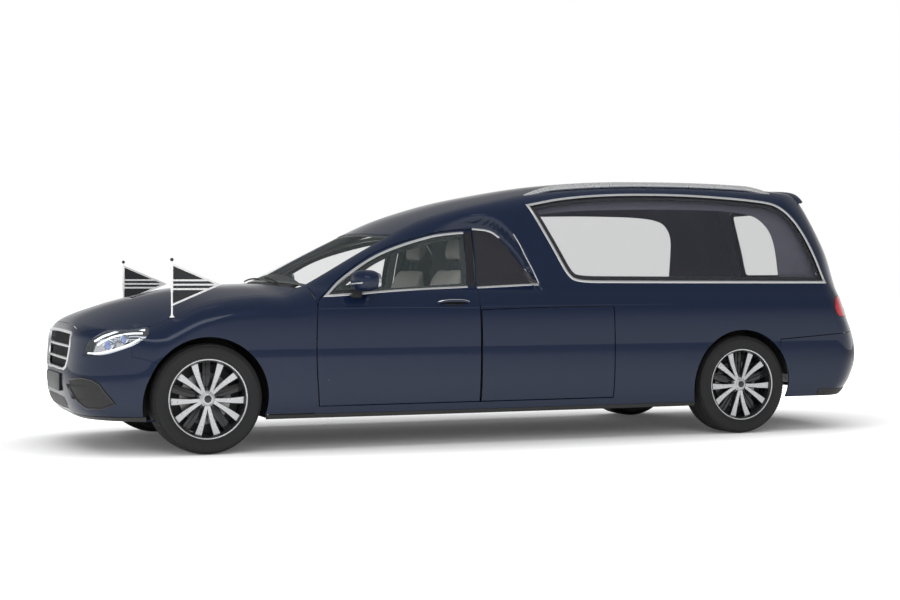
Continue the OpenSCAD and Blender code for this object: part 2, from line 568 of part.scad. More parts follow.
// The steering axis stands inside the rim, over the ball joint of the lower arm
king_y = wheel_y - 75;
stub_end = face_z - 34;
ball_r = 9;
arm_z = hub_z - 150;
arm_t = 26;
module stub(y0) cylinder(r = hub_bore_r - bore_gap, h = wheel_y + stub_end - y0, $fn = 48);
module knuckle(side) color("dimgray") {
    turned(side, fa, king_y) {
        stub(king_y);
        translate([0, 0, -24]) cylinder(r = 52, h = 60, $fn = 48);
    }
    translate([fa, side * king_y, arm_z + arm_t + 4]) difference() {
        cylinder(r = 24, h = 90, $fn = 48);
        translate([0, 0, -1]) cylinder(r = ball_r + bore_gap, h = 42, $fn = 48);
    }
    // Brake caliper behind the disc's rim
    translate([fa - 168, side * (wheel_y + disc_z - 34) - 14, hub_z - 45]) cube([70, 28, 90]);
    translate([fa - 120, side * (wheel_y + disc_z - 44) - 24, hub_z - 14]) cube([120, 30, 28]);
}

// ---- underneath and inside -----------------------------------------------------------------
pan_z = 205;
pan_t = 30;
pan_half = ring(fa - 686, 0, pan_z)[0][1] - wall_t - 6 * seat_gap;
rear_floor_z = hub_z + 110;
liner_front_y = 400 + seat_gap;
liner_rear_y = 600;
liner_in = arch_r + 28;
liner_t = 8;
jack_r = 12;
deck_z = 762;
deck_t = 20;
bulkhead_x = fa - 2010;
module underbody() color("dimgray") {
    difference() {
        translate([ra + 440, -pan_half, pan_z]) cube([wheelbase - 900, 2 * pan_half, pan_t]);
        for (x = [ra + 640, fa - 760], s = [1, -1]) translate([x, s * (pan_half - 60), pan_z - 1])
            cylinder(r = jack_r, h = pan_t + 2, $fn = 48);
    }
    translate([ra - 900, -liner_rear_y + seat_gap, rear_floor_z])
        cube([1340 + pan_t, 2 * (liner_rear_y - seat_gap), pan_t]);
    translate([ra + 440, -liner_rear_y, pan_z + pan_t - 1]) cube([pan_t, 2 * liner_rear_y,
        rear_floor_z - pan_z]);
    for (s = [1, -1]) translate([fa - 470, s > 0 ? 330 : -400, pan_z]) cube([1130, 70, 80]);
    translate([fa - 470, -700, pan_z + pan_t]) cube([20, 1400, 640]);
    translate([fa + 640, -400, pan_z]) cube([20, 800, 300]);
}
module engine() color("gray") translate([fa - 380, -260, pan_z + 80 + seat_gap]) {
    cube([680, 520, 460]);
    for (s = [0, 1]) translate([280, -140 + s * 660, 0]) cube([120, 140, 40]);
}
module axle_frames() color("dimgray") {
    translate([fa - 60, -400, arm_z - arm_t]) cube([120, 800, pan_z - arm_z + arm_t - seat_gap]);
    for (s = [1, -1]) {
        translate([fa - 20, s > 0 ? 400 : -king_y - 24, arm_z]) cube([40, king_y - 376, arm_t]);
        translate([fa, s * king_y, arm_z]) cylinder(r = ball_r, h = arm_t + 40, $fn = 48);
        turned(s, ra, 396) stub(396);
        translate([ra - 40, s * 300 - 20, hub_z + 39]) cube([80, 40, rear_floor_z - hub_z - 39 - seat_gap]);
    }
    translate([ra - 90, -400, hub_z - 40]) cube([180, 800, 80]);
}
module exhaust() color("silver") {
    translate([ra - 860, 120, rear_floor_z - 130 - seat_gap]) cube([300, 400, 130]);
    translate([ra - 561, 450, rear_floor_z - 40 - seat_gap]) rotate([0, 90, 0])
        cylinder(r = 26, h = 440, $fn = 48);
}
module wheelhouses() color("black") for (s = [1, -1], x = [fa, ra]) {
    y0 = x == fa ? liner_front_y : liner_rear_y;
    y1 = x == fa ? half - 130 : half - wall_t - 14;
    z0 = x == fa ? pan_z : hub_z + 60;
    difference() {
        turned(s, x, y0) difference() {
            cylinder(r = liner_in + liner_t, h = y1 - y0, $fn = 72);
            translate([0, 0, liner_t]) cylinder(r = liner_in, h = 700, $fn = 72);
        }
        translate([x - 600, -1200, z0 - 1000]) cube([1200, 2400, 1000]);
        translate([x - 90, -1200, 0]) cube([180, 2400, hub_z + 70]);
    }
}
column = [fa - 1010, 370, 880];
column_tilt = 65;
rim_tube = 14;
wheel_hub_r = 50;
pin_axle_r = 12;
dash_x = fa - 860;
module dashboard() color("dimgray") {
    translate([0, 655, 0]) rotate([90, 0, 0]) linear_extrude(1310) polygon([
            [dash_x + 10, 560], [dash_x, 760], [dash_x + 30, 900], [dash_x + 90, 930], [dash_x + 250, 925],
            [dash_x + 280, 900], [dash_x + 280, 560]]);
    translate(column) rotate([0, -column_tilt, 0]) translate([0, 0, -200]) {
        cylinder(r = 30, h = 174, $fn = 48);
        cylinder(r = pin_axle_r, h = 206, $fn = 48);
    }
    translate([dash_x - 500, -110, pan_z + pan_t]) cube([760, 220, 420]);
}
module steering_wheel() color("black") translate(column) rotate([0, -column_tilt, 0]) difference() {
    union() {
        rotate_extrude($fn = 72) translate([182, 0]) circle(r = rim_tube, $fn = 24);
        translate([0, 0, -20]) cylinder(r = wheel_hub_r, h = 44, $fn = 48);
        for (a = [0, 120, 240]) rotate([0, 0, a]) translate([40, -16, -6]) cube([136, 32, 12]);
    }
    translate([0, 0, -21]) cylinder(r = pin_axle_r + bore_gap, h = 31, $fn = 48);
}
seat_x = fa - 1640;
seat_y = 385;
module front_seats() color("lightgray") for (s = [1, -1]) translate([seat_x, s * seat_y, pan_z + pan_t]) {
    translate([0, -210, 0]) cube([460, 420, 150]);
    translate([-80, -255, 150 + seat_gap]) cube([620, 510, 190]);
    translate([-76, -255, 340 + 2 * seat_gap]) rotate([0, -14, 0]) {
        cube([130, 510, 560]);
        translate([20, 120, 560 + 60]) cube([90, 270, 170]);
        for (y = [200, 310]) translate([65, y, 550]) cylinder(r = 7, h = 100, $fn = 24);
    }
}
deck_half = ring(ra - 500, 0, deck_z + deck_t)[0][1] - wall_t - seat_gap;
module load_deck() color("dimgray") difference() {
    union() {
        translate([ra - 500, -deck_half, deck_z]) cube([bulkhead_x - ra + 500, 2 * deck_half, deck_t]);
        translate([ra - 985, -530, deck_z]) cube([490, 1060, deck_t]);
        translate([bulkhead_x, -deck_half + 60, pan_z + pan_t]) cube([20, 2 * deck_half - 120,
            deck_z + 180 - pan_z]);
        for (s = [1, -1]) translate([ra - 600, s > 0 ? 520 : -560, rear_floor_z + pan_t])
            cube([600, 40, deck_z - rear_floor_z - pan_t]);
    }
    for (x = [-1600, -400], y = [-200, 200]) translate([x, y, deck_z - 1]) cylinder(r = 6,
        h = deck_t + 2, $fn = 48);
}
// Rails: one bar along each roof edge, on the roof by its ends and feet
rail_y = 588;
rail_w = 24;
rail_x = [ra - 560, fa - 2160];
rail_n = 26;
function rail_base(i) = skin_z(mix(rail_x[0], rail_x[1], i / rail_n), rail_y - rail_w / 2) - seat_gap;
function rail_lift(u) = rail_h * min(1, (1 - (2 * u - 1) ^ 8) * 1.2);
module roof_rails() color("silver") for (s = [1, -1])
    translate([0, s * rail_y + rail_w / 2, 0]) rotate([90, 0, 0]) linear_extrude(rail_w) polygon(concat(
        [for (i = [0:rail_n]) [mix(rail_x[0], rail_x[1], i / rail_n), rail_base(i)]],
        [for (i = [rail_n:-1:0]) [mix(rail_x[0], rail_x[1], i / rail_n),
                                  rail_base(i) + 4 + rail_lift(i / rail_n)]]));
// Pennant staffs stand on the fenders beside the bonnet
staff = [fa + 200, 806];
staff_r = 5;
flag_z = 150;
flag_hoist = 235;
module flagstaffs() color("white") for (s = [1, -1]) translate([staff[0], s * staff[1],
    skin_z(staff[0], staff[1] - 16) + seat_gap]) {
    cylinder(r = 14, h = 10, $fn = 48);
    cylinder(r = staff_r, h = staff_h, $fn = 24);
    translate([0, 0, staff_h + 5]) sphere(r = 11, $fn = 32);
}
module pennants() color("black") for (s = [1, -1])
    translate([staff[0] - staff_r - seat_gap, s * staff[1] + 1, skin_z(staff[0], staff[1] - 12)
        + flag_z]) rotate([90, 0, 0])
        linear_extrude(2) polygon([[0, 0], [0, flag_hoist], [-300, flag_hoist / 2]]);
// Blank number plates and their carriers
plate = [12, 520, 112];
module number_plates() color("white") {
    front = max([for (z = [366:14:478]) ring(nose_turn_x, -90, z)[0][0]]);
    rear = min([for (z = [500:14:612]) ring(corner_x, 90, z)[0][0]]);
    translate([front + seat_gap, -plate[1] / 2, 366]) cube(plate);
    translate([rear - plate[0] - seat_gap, -plate[1] / 2, 500]) cube(plate);
}

underbody();
engine();
axle_frames();
exhaust();
wheelhouses();
cowl();
front_bumper();
grille();
headlights();
fender(1);  // fender_left
fender(-1);  // fender_right
side_panel(1);  // side_panel_left
side_panel(-1);  // side_panel_right
roof();
windscreen();
side_windows();
rear_bumper();
tail_lamps();
roof_rails();
number_plates();
dashboard();
front_seats();
load_deck();
flagstaffs();
pennants();
hinges();
bonnet();
front_door(1);  // front_door_left
front_door(-1);  // front_door_right
door_glass(1);  // door_glass_left
door_glass(-1);  // door_glass_right
door_mirror(1);  // door_mirror_left
door_mirror(-1);  // door_mirror_right
side_hatch(1);  // side_hatch_left
side_hatch(-1);  // side_hatch_right
tailgate();
tailgate_glass();
steering_wheel();
knuckle(1);  // knuckle_left
knuckle(-1);  // knuckle_right
wheel(1, fa);  // wheel_front_left
wheel(-1, fa);  // wheel_front_right
wheel(1, ra);  // wheel_rear_left
wheel(-1, ra);  // wheel_rear_right
tyre(1, fa);  // tyre_front_left
tyre(-1, fa);  // tyre_front_right
tyre(1, ra);  // tyre_rear_left
tyre(-1, ra);  // tyre_rear_right
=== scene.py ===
"""Looks of a long-wheelbase hearse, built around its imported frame.

The body's surface is one smooth function of place; every panel, pane and strip is cut from it, so that
they line up. Lengths in the outline tables are millimetres; meshes are in metres, +X forwards, +Y left.
"""

import logging
import math
from dataclasses import dataclass, field
from enum import Enum
from typing import Optional, Sequence

import bmesh
import bpy
import numpy as np
from mathutils import Matrix, Vector
from mathutils.geometry import delaunay_2d_cdt


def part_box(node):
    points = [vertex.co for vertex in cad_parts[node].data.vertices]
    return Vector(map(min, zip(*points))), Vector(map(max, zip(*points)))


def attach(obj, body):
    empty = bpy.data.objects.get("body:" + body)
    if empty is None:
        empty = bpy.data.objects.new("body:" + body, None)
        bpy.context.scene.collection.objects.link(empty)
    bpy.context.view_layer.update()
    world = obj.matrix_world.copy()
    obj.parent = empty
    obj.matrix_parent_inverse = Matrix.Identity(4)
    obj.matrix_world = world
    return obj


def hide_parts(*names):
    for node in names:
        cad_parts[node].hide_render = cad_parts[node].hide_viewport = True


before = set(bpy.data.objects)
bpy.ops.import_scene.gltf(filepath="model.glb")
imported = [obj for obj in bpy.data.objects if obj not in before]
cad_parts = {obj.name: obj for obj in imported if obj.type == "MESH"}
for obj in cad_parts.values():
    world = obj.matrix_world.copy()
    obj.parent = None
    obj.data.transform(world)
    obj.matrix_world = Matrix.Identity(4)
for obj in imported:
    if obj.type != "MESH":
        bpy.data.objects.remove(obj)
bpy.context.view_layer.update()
log = logging.getLogger("hearse")

MM = 0.001


def node_box(node: str) -> np.ndarray:
    """Lowest and highest corner of a CAD node, in millimetres."""
    return np.array([list(corner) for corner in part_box(node)]) / MM


_front = node_box("tyre_front_left")
_rear = node_box("tyre_rear_left")
FA = float(_front[:, 0].mean())
RA = float(_rear[:, 0].mean())
HUB = float(_front[:, 2].mean())
TYRE_R = float(_front[1, 2] - _front[0, 2]) / 2
TYRE_W = float(_front[1, 1] - _front[0, 1])
WHEEL_Y = float(_front[:, 1].mean())
HALF = float(node_box("front_door_left")[1, 1])
HALF_LENGTH = 2856.5
ARCH_R = TYRE_R + 38
DOOR_FRONT = FA - 686
DOOR_REAR = FA - 1786
HATCH_REAR = FA - 2751
TAIL_CUT = RA - 650
GATE_EDGE = TAIL_CUT - 12
SHUT = 5.5
SEAM = 0.4


# ---- finishes --------------------------------------------------------------------------------


class Pattern(Enum):
    """What a finish shows close up."""

    CLOUD = "soft mottling"
    FLAKE = "metal flakes under lacquer"
    WEAVE = "crossing threads"
    WOOD = "long grain"
    BRUSHED = "fine lines along X"
    GRAIN = "leather or moulded grain"
    STRIPES = "printed pennant"


@dataclass(frozen=True)
class Finish:
    """A finish: its colour, gloss and close-up pattern."""

    name: str
    colour: tuple[float, float, float]
    second: Optional[tuple[float, float, float]] = None
    rough: float = 0.4
    spread: float = 0.06
    metal: float = 0.0
    bump: float = 0.05
    scale: float = 20.0
    coat: float = 0.0
    coat_rough: float = 0.03
    coat_ior: float = 1.5
    alpha: float = 1.0
    glow: float = 0.0
    specular: float = 0.5
    sheen: float = 0.0
    pattern: Pattern = Pattern.CLOUD

    def material(self) -> bpy.types.Material:
        """The finish as a material, made once."""
        found = bpy.data.materials.get(self.name)
        return found if found is not None else self._build()

    def _build(self) -> bpy.types.Material:
        """Makes the node tree.

        Returns:
            The new material.
        """
        made = bpy.data.materials.new(self.name)
        made.use_nodes = True
        nodes, links = made.node_tree.nodes, made.node_tree.links
        shader = nodes["Principled BSDF"]
        shader.inputs["Metallic"].default_value = self.metal
        shader.inputs["Coat Weight"].default_value = self.coat
        shader.inputs["Coat Roughness"].default_value = self.coat_rough
        shader.inputs["Coat IOR"].default_value = self.coat_ior
        shader.inputs["Specular IOR Level"].default_value = self.specular
        shader.inputs["Sheen Weight"].default_value = self.sheen
        shader.inputs["Alpha"].default_value = self.alpha
        place = nodes.new("ShaderNodeTexCoord").outputs["Object"]
        if self.pattern is Pattern.STRIPES:
            place = nodes["Texture Coordinate"].outputs["UV"]
        fine = self._texture(made.node_tree, place)
        slow = nodes.new("ShaderNodeTexNoise")
        slow.inputs["Scale"].default_value = max(self.scale * 0.08, 1.5)
        slow.inputs["Detail"].default_value = 3
        links.new(place, slow.inputs["Vector"])
        tone = nodes.new("ShaderNodeMix")
        tone.data_type = "RGBA"
        other = self.second or tuple(c * 0.82 for c in self.colour)
        tone.inputs["A"].default_value = (*self.colour, 1)
        tone.inputs["B"].default_value = (*other, 1)
        both = nodes.new("ShaderNodeMath")
        both.operation = "MULTIPLY"
        links.new(fine, both.inputs[0])
        if self.pattern is Pattern.STRIPES:
            both.inputs[1].default_value = 1.0
        else:
            links.new(slow.outputs["Fac"], both.inputs[1])
        links.new(both.outputs[0], tone.inputs["Factor"])
        links.new(tone.outputs["Result"], shader.inputs["Base Color"])
        gloss = nodes.new("ShaderNodeMapRange")
        gloss.inputs["To Min"].default_value = max(self.rough - self.spread, 0)
        gloss.inputs["To Max"].default_value = self.rough + self.spread
        links.new(slow.outputs["Fac"], gloss.inputs["Value"])
        links.new(gloss.outputs["Result"], shader.inputs["Roughness"])
        if self.bump:
            relief = nodes.new("ShaderNodeBump")
            relief.inputs["Strength"].default_value = self.bump
            relief.inputs["Distance"].default_value = 0.001
            links.new(fine, relief.inputs["Height"])
            links.new(relief.outputs["Normal"], shader.inputs["Normal"])
        if self.glow:
            shader.inputs["Emission Color"].default_value = (*self.colour, 1)
            shader.inputs["Emission Strength"].default_value = self.glow
        return made

    def _texture(self, tree: bpy.types.NodeTree, place: bpy.types.NodeSocket) -> bpy.types.NodeSocket:
        """Adds the close-up pattern.

        Args:
            tree: the material's node tree.
            place: the coordinates that the pattern follows.

        Returns:
            The pattern's value socket.
        """
        nodes, links = tree.nodes, tree.links
        if self.pattern is Pattern.FLAKE:
            cells = nodes.new("ShaderNodeTexVoronoi")
            cells.inputs["Scale"].default_value = self.scale
            links.new(place, cells.inputs["Vector"])
            return cells.outputs["Distance"]
        if self.pattern is Pattern.STRIPES:
            return self._stripes(tree, place)
        if self.pattern in (Pattern.WOOD, Pattern.BRUSHED):
            turn = nodes.new("ShaderNodeMapping")
            turn.inputs["Scale"].default_value = (0.05, 1, 1)
            links.new(place, turn.inputs["Vector"])
            place = turn.outputs["Vector"]
        if self.pattern is Pattern.WEAVE:
            threads = []
            for direction in ("X", "Z"):
                wave = nodes.new("ShaderNodeTexWave")
                wave.bands_direction = direction
                wave.inputs["Scale"].default_value = self.scale
                wave.inputs["Distortion"].default_value = 0.4
                links.new(place, wave.inputs["Vector"])
                threads.append(wave.outputs["Fac"])
            cross = nodes.new("ShaderNodeMath")
            cross.operation = "MAXIMUM"
            links.new(threads[0], cross.inputs[0])
            links.new(threads[1], cross.inputs[1])
            return cross.outputs[0]
        noise = nodes.new("ShaderNodeTexNoise")
        noise.inputs["Scale"].default_value = self.scale
        noise.inputs["Detail"].default_value = 6
        links.new(place, noise.inputs["Vector"])
        return noise.outputs["Fac"]

    def _stripes(self, tree: bpy.types.NodeTree, place: bpy.types.NodeSocket) -> bpy.types.NodeSocket:
        """Three stripes across the middle and a border; V runs up the hoist, U to the tip.

        Args:
            tree: the material's node tree.
            place: UV coordinates.

        Returns:
            A value that is 1 on the stripes and the border.
        """
        nodes, links = tree.nodes, tree.links

        def math_node(kind: str, a: object, b: float) -> bpy.types.NodeSocket:
            """A Math node on a socket and a number.

            Args:
                kind: the operation.
                a: the socket.
                b: the number.

            Returns:
                The node's output.
            """
            node = nodes.new("ShaderNodeMath")
            node.operation = kind
            links.new(a, node.inputs[0])
            node.inputs[1].default_value = b
            return node.outputs[0]

        split = nodes.new("ShaderNodeSeparateXYZ")
        links.new(place, split.inputs[0])
        middle = math_node("ABSOLUTE", math_node("SUBTRACT", split.outputs["Y"], 0.5), 0)
        inner = math_node("LESS_THAN", middle, 0.022)
        outer = math_node("LESS_THAN", math_node("ABSOLUTE", math_node("SUBTRACT", middle, 0.105), 0), 0.022)
        reach = nodes.new("ShaderNodeMath")
        reach.operation = "ADD"
        links.new(math_node("MULTIPLY", middle, 2.0), reach.inputs[0])
        links.new(split.outputs["X"], reach.inputs[1])
        border = math_node("GREATER_THAN", reach.outputs[0], 0.9)
        total = nodes.new("ShaderNodeMath")
        total.operation = "MAXIMUM"
        links.new(inner, total.inputs[0])
        links.new(outer, total.inputs[1])
        last = nodes.new("ShaderNodeMath")
        last.operation = "MAXIMUM"
        links.new(total.outputs[0], last.inputs[0])
        links.new(border, last.inputs[1])
        return last.outputs[0]


PAINT = Finish("navy_paint", (0.0028, 0.0105, 0.037), (0.0068, 0.0215, 0.068), 0.34, 0.04, 0.25, 0.02, 1400,
               0.8, 0.02,
               coat_ior=1.5, specular=0.3, pattern=Pattern.FLAKE)
CHROME = Finish("chrome_trim", (0.86, 0.87, 0.88), (0.78, 0.79, 0.8), 0.14, 0.03, 0.7, 0.01, 300)
SILVER = Finish("satin_silver", (0.72, 0.73, 0.74), (0.62, 0.63, 0.65), 0.28, 0.05, 0.55, 0.03, 260,
                pattern=Pattern.BRUSHED)
GLOSS = Finish("gloss_black", (0.012, 0.012, 0.014), (0.02, 0.02, 0.022), 0.2, 0.05, 0.0, 0.02, 120, 0.6)
SATIN = Finish("satin_black", (0.02, 0.02, 0.021), (0.035, 0.035, 0.036), 0.5, 0.1, 0.0, 0.2, 420,
               pattern=Pattern.GRAIN)
RUBBER = Finish("tyre_rubber", (0.010, 0.010, 0.011), (0.022, 0.022, 0.023), 0.62, 0.12, 0.0, 0.25, 260,
                pattern=Pattern.GRAIN)
TINT = Finish("tinted_glass", (0.10, 0.105, 0.13), (0.115, 0.12, 0.145), 0.04, 0.02, bump=0.0, scale=4,
              alpha=0.12)
CLEAR = Finish("cab_glass", (0.2, 0.25, 0.25), (0.22, 0.27, 0.27), 0.04, 0.02, bump=0.0, scale=4, alpha=0.08)
SMOKE = Finish("smoked_panel", (0.022, 0.022, 0.028), (0.032, 0.032, 0.04), 0.12, 0.03, bump=0.01, scale=60,
               coat=0.5)
LENS = Finish("lamp_lens", (0.5, 0.53, 0.56), (0.55, 0.58, 0.6), 0.05, 0.02, bump=0.0, scale=4, alpha=0.07)
RED = Finish("red_lens", (0.62, 0.006, 0.02), (0.36, 0.004, 0.01), 0.12, 0.04, 0.0, 0.1, 90, 0.8, glow=0.12)
# Painted highlight colour, for the white streak on the tail lamps.
GLINT_WHITE = Finish("painted_glint_white", (0.85, 0.86, 0.88), (0.7, 0.7, 0.74), 0.12, 0.04, 0.0, 0.1, 90, 1.0)
LED = Finish("led_strip", (0.9, 0.94, 1.0), (0.8, 0.85, 0.95), 0.2, 0.05, 0.0, 0.0, 60, glow=0.9)
MIRROR = Finish("reflector", (0.8, 0.82, 0.85), (0.6, 0.62, 0.66), 0.12, 0.05, 1.0, 0.05, 60)
BLUE_LENS = Finish("projector_lens", (0.2, 0.35, 0.7), (0.35, 0.3, 0.7), 0.08, 0.03, 0.2, 0.0, 30, 1.0)
CAST = Finish("cast_metal", (0.22, 0.22, 0.225), (0.14, 0.14, 0.145), 0.55, 0.1, 0.7, 0.4, 160)
STEEL = Finish("coated_steel", (0.055, 0.056, 0.06), (0.09, 0.09, 0.09), 0.6, 0.1, 0.2, 0.3, 90)
DISC = Finish("brake_disc", (0.42, 0.42, 0.43), (0.3, 0.29, 0.28), 0.35, 0.08, 0.9, 0.1, 300)
TRIM = Finish("dash_trim", (0.30, 0.29, 0.27), (0.24, 0.23, 0.21), 0.6, 0.08, 0.0, 0.35, 700,
              pattern=Pattern.GRAIN)
LINING = Finish("grey_lining", (0.11, 0.112, 0.145), (0.085, 0.087, 0.115), 0.8, 0.06, 0.0, 0.25, 500,
                sheen=0.3,
                pattern=Pattern.WEAVE)
SHADE = Finish("roof_lining", (0.30, 0.31, 0.33), (0.25, 0.26, 0.28), 0.8, 0.06, 0.0, 0.25, 500, sheen=0.2,
               pattern=Pattern.WEAVE)
LEATHER = Finish("pale_leather", (0.50, 0.49, 0.46), (0.42, 0.41, 0.38), 0.5, 0.06, 0.0, 0.35, 900,
                 pattern=Pattern.GRAIN)
WOOD = Finish("deck_wood", (0.16, 0.075, 0.035), (0.075, 0.032, 0.014), 0.3, 0.06, 0.0, 0.08, 60, 0.5,
              pattern=Pattern.WOOD)
PLATE = Finish("blank_plate", (0.10, 0.10, 0.105), (0.08, 0.08, 0.085), 0.35, 0.05, 0.0, 0.05, 200)
PENNANT = Finish("pennant_cloth", (0.025, 0.026, 0.03), (0.82, 0.82, 0.82), 0.75, 0.05, 0.0, 0.05, 800,
                 sheen=0.2,
                 pattern=Pattern.STRIPES)
# Painted light: the staff glows, though it is no lamp, so that it looks brighter than the lamps make it.
STAFF_PAINTED_GLOW = Finish("staff_white_painted_glow", (0.85, 0.85, 0.85), (0.78, 0.78, 0.79), 0.25, 0.05, 0.0, 0.02, 200, 0.5,
               glow=0.2)
MESH = Finish("grille_mesh", (0.03, 0.03, 0.032), (0.06, 0.06, 0.062), 0.45, 0.1, 0.3, 0.1, 200)


# ---- the body's surface ------------------------------------------------------------------------


def hermite(table: np.ndarray, x: np.ndarray) -> np.ndarray:
    """Smooth curve through a table's points, held at its ends.

    Args:
        table: rows of place and value, in rising order.
        x: places to read.

    Returns:
        The values there.
    """
    keys, values = table[:, 0], table[:, 1]
    before = np.maximum(np.arange(len(keys)) - 1, 0)
    after = np.minimum(np.arange(len(keys)) + 1, len(keys) - 1)
    slopes = (values[after] - values[before]) / (keys[after] - keys[before])
    c = np.clip(x, keys[0], keys[-1])
    i = np.clip(np.searchsorted(keys, c, side="right") - 1, 0, len(keys) - 2)
    h = keys[i + 1] - keys[i]
    u = (c - keys[i]) / h
    return (values[i] * (2 * u**3 - 3 * u**2 + 1) + slopes[i] * h * (u**3 - 2 * u**2 + u)
            + values[i + 1] * (3 * u**2 - 2 * u**3) + slopes[i + 1] * h * (u**3 - u**2))


def ease(u: np.ndarray) -> np.ndarray:
    """Smooth step from 0 to 1."""
    c = np.clip(u, 0, 1)
    return c * c * (3 - 2 * c)


def soft_max(a: np.ndarray, b: np.ndarray, k: float) -> np.ndarray:
    """The larger of two values, rounded over a width of k."""
    h = np.maximum(k - np.abs(a - b), 0) / k
    return np.maximum(a, b) + h * h * k / 4


def unit(v: np.ndarray) -> np.ndarray:
    """Vectors at length 1."""
    return v / np.maximum(np.linalg.norm(v, axis=-1, keepdims=True), 1e-12)


@dataclass
class Surface:
    """The body's outer surface, left half; the right is its mirror image. All in millimetres."""

    centre: np.ndarray = field(default_factory=lambda: np.array([
        (RA - 900, 1690), (RA - 700, 1706), (RA - 410, 1733), (RA - 150, 1752), (RA + 190, 1764),
        (RA + 590, 1762), (FA - 2850, 1748), (FA - 2520, 1718), (FA - 2310, 1688), (FA - 2062, 1643),
        (FA - 1862, 1601), (FA - 1662, 1546), (FA - 1460, 1478), (FA - 1241, 1383), (FA - 1024, 1286),
        (FA - 792, 1174), (FA - 560, 1060), (FA - 500, 1038), (FA - 330, 1030), (FA - 140, 1022),
        (FA + 80, 998), (FA + 350, 938), (FA + 530, 886), (FA + 680, 826), (FA + 760, 760), (FA + 800, 690)]))
    crown: np.ndarray = field(default_factory=lambda: np.array([
        (RA - 700, 84), (FA - 2500, 84), (FA - 2000, 74), (FA - 1500, 72), (FA - 1250, 84), (FA - 1000, 96),
        (FA - 680, 100), (FA - 500, 72), (FA - 330, 64), (FA, 84), (FA + 200, 126), (FA + 330, 150),
        (FA + 560, 130), (FA + 760, 60)]))
    cab: np.ndarray = field(default_factory=lambda: np.array([
        (160, 84), (200, 60), (240, 40), (300, 22), (420, 6), (560, 0), (700, 2), (800, 8), (870, 17),
        (905, 27),
        (950, 48), (985, 70), (1012, 104), (1040, 126), (1150, 158), (1250, 195), (1350, 238), (1450, 290),
        (1560, 360), (1700, 470)], float))
    load: np.ndarray = field(default_factory=lambda: np.array([
        (160, 84), (200, 60), (240, 40), (300, 22), (420, 6), (560, 0), (700, 2), (800, 8), (870, 17),
        (905, 27),
        (950, 48), (985, 66), (1012, 76), (1040, 83), (1150, 102), (1250, 120), (1350, 144), (1450, 174),
        (1560, 216), (1640, 258), (1700, 300), (1780, 370)], float))
    arch: np.ndarray = field(default_factory=lambda: np.array([
        (FA - 2244, 985), (FA - 2210, 1075), (FA - 2139, 1246), (FA - 2069, 1367), (FA - 1987, 1452),
        (FA - 1917, 1488), (FA - 1797, 1500), (FA - 1547, 1432), (FA - 1247, 1320), (FA - 847, 1090)]))
    arch_step: np.ndarray = field(default_factory=lambda: np.array([
        (FA - 2244, 26), (FA - 2139, 90), (FA - 1987, 115), (FA - 847, 80)]))
    front: np.ndarray = field(default_factory=lambda: np.array([
        (160, FA + 560), (200, FA + 660), (240, FA + 730), (300, FA + 768), (380, FA + 782), (470, FA + 784),
        (560, FA + 778), (650, FA + 771), (740, FA + 764), (800, FA + 752), (900, FA + 700)]))
    rear: np.ndarray = field(default_factory=lambda: np.array([
        (160, RA - 980), (240, RA - 1047), (310, RA - 1097), (365, RA - 1128), (475, RA - 1162),
        (580, RA - 1160), (690, RA - 1134), (780, RA - 1100), (860, RA - 1072), (940, RA - 1052),
        (1057, RA - 1023), (1240, RA - 975), (1470, RA - 880), (1660, RA - 790), (1760, RA - 735)]))
    front_bow: float = 500
    rear_bow: float = 300
    barrel: float = 8

    def outside(self, p: np.ndarray) -> np.ndarray:
        """Above 0 outside the body, below 0 inside.

        Args:
            p: points, one a row.

        Returns:
            A value for each point.
        """
        x, y, z = p[:, 0], np.abs(p[:, 1]), p[:, 2]
        share = ease((FA - 1247 - x) / 700) * ease((z - hermite(self.arch, x)) / hermite(self.arch_step, x)
                                                   + 1)
        load = hermite(self.load, z)
        side = HALF - (hermite(self.cab, z) * (1 - share)
                       + load * share) - self.barrel * (x / HALF_LENGTH) ** 2
        top = hermite(self.centre, x) - hermite(self.crown, x) * (y / (0.81 * HALF)) ** 2.3
        nose = hermite(self.front, z) - self.front_bow * (y / HALF) ** 5
        tail = hermite(self.rear, z) + self.rear_bow * (y / (HALF - load)) ** 4
        return soft_max(soft_max(y - side, z - top, 100), np.maximum(x - nose, tail - x), 60)

    def hit(self, start: np.ndarray, direction: np.ndarray, reach: float = 1600) -> np.ndarray:
        """Where rays that start inside leave the body.

        Args:
            start: starting points.
            direction: unit directions.
            reach: the rays' length.

        Returns:
            Points on the surface.
        """
        low, high = np.zeros(len(start)), np.full(len(start), float(reach))
        for _ in range(24):
            mid = (low + high) / 2
            out = self.outside(start + direction * mid[:, None]) > 0
            low, high = np.where(out, low, mid), np.where(out, mid, high)
        return start + direction * low[:, None]

    def normal(self, p: np.ndarray) -> np.ndarray:
        """Outward unit normals at points on the surface.

        Args:
            p: points on the surface.

        Returns:
            One unit vector per point.
        """
        step = 7.0
        out = np.empty_like(p)
        for axis in range(3):
            d = np.zeros(3)
            d[axis] = step
            out[:, axis] = self.outside(p + d) - self.outside(p - d)
        return unit(out)


BODY = Surface()
CORNER_X = RA - 300
NOSE_X = FA + 280
UP = np.array([0.0, 0.0, 1.0])


class View(Enum):
    """The direction that an outline is drawn from, with what its two numbers are."""

    SIDE = "x and z, on the left"
    TOP = "x and y"
    REAR = "y and z, on the tail"
    FRONT = "y and z, on the nose"


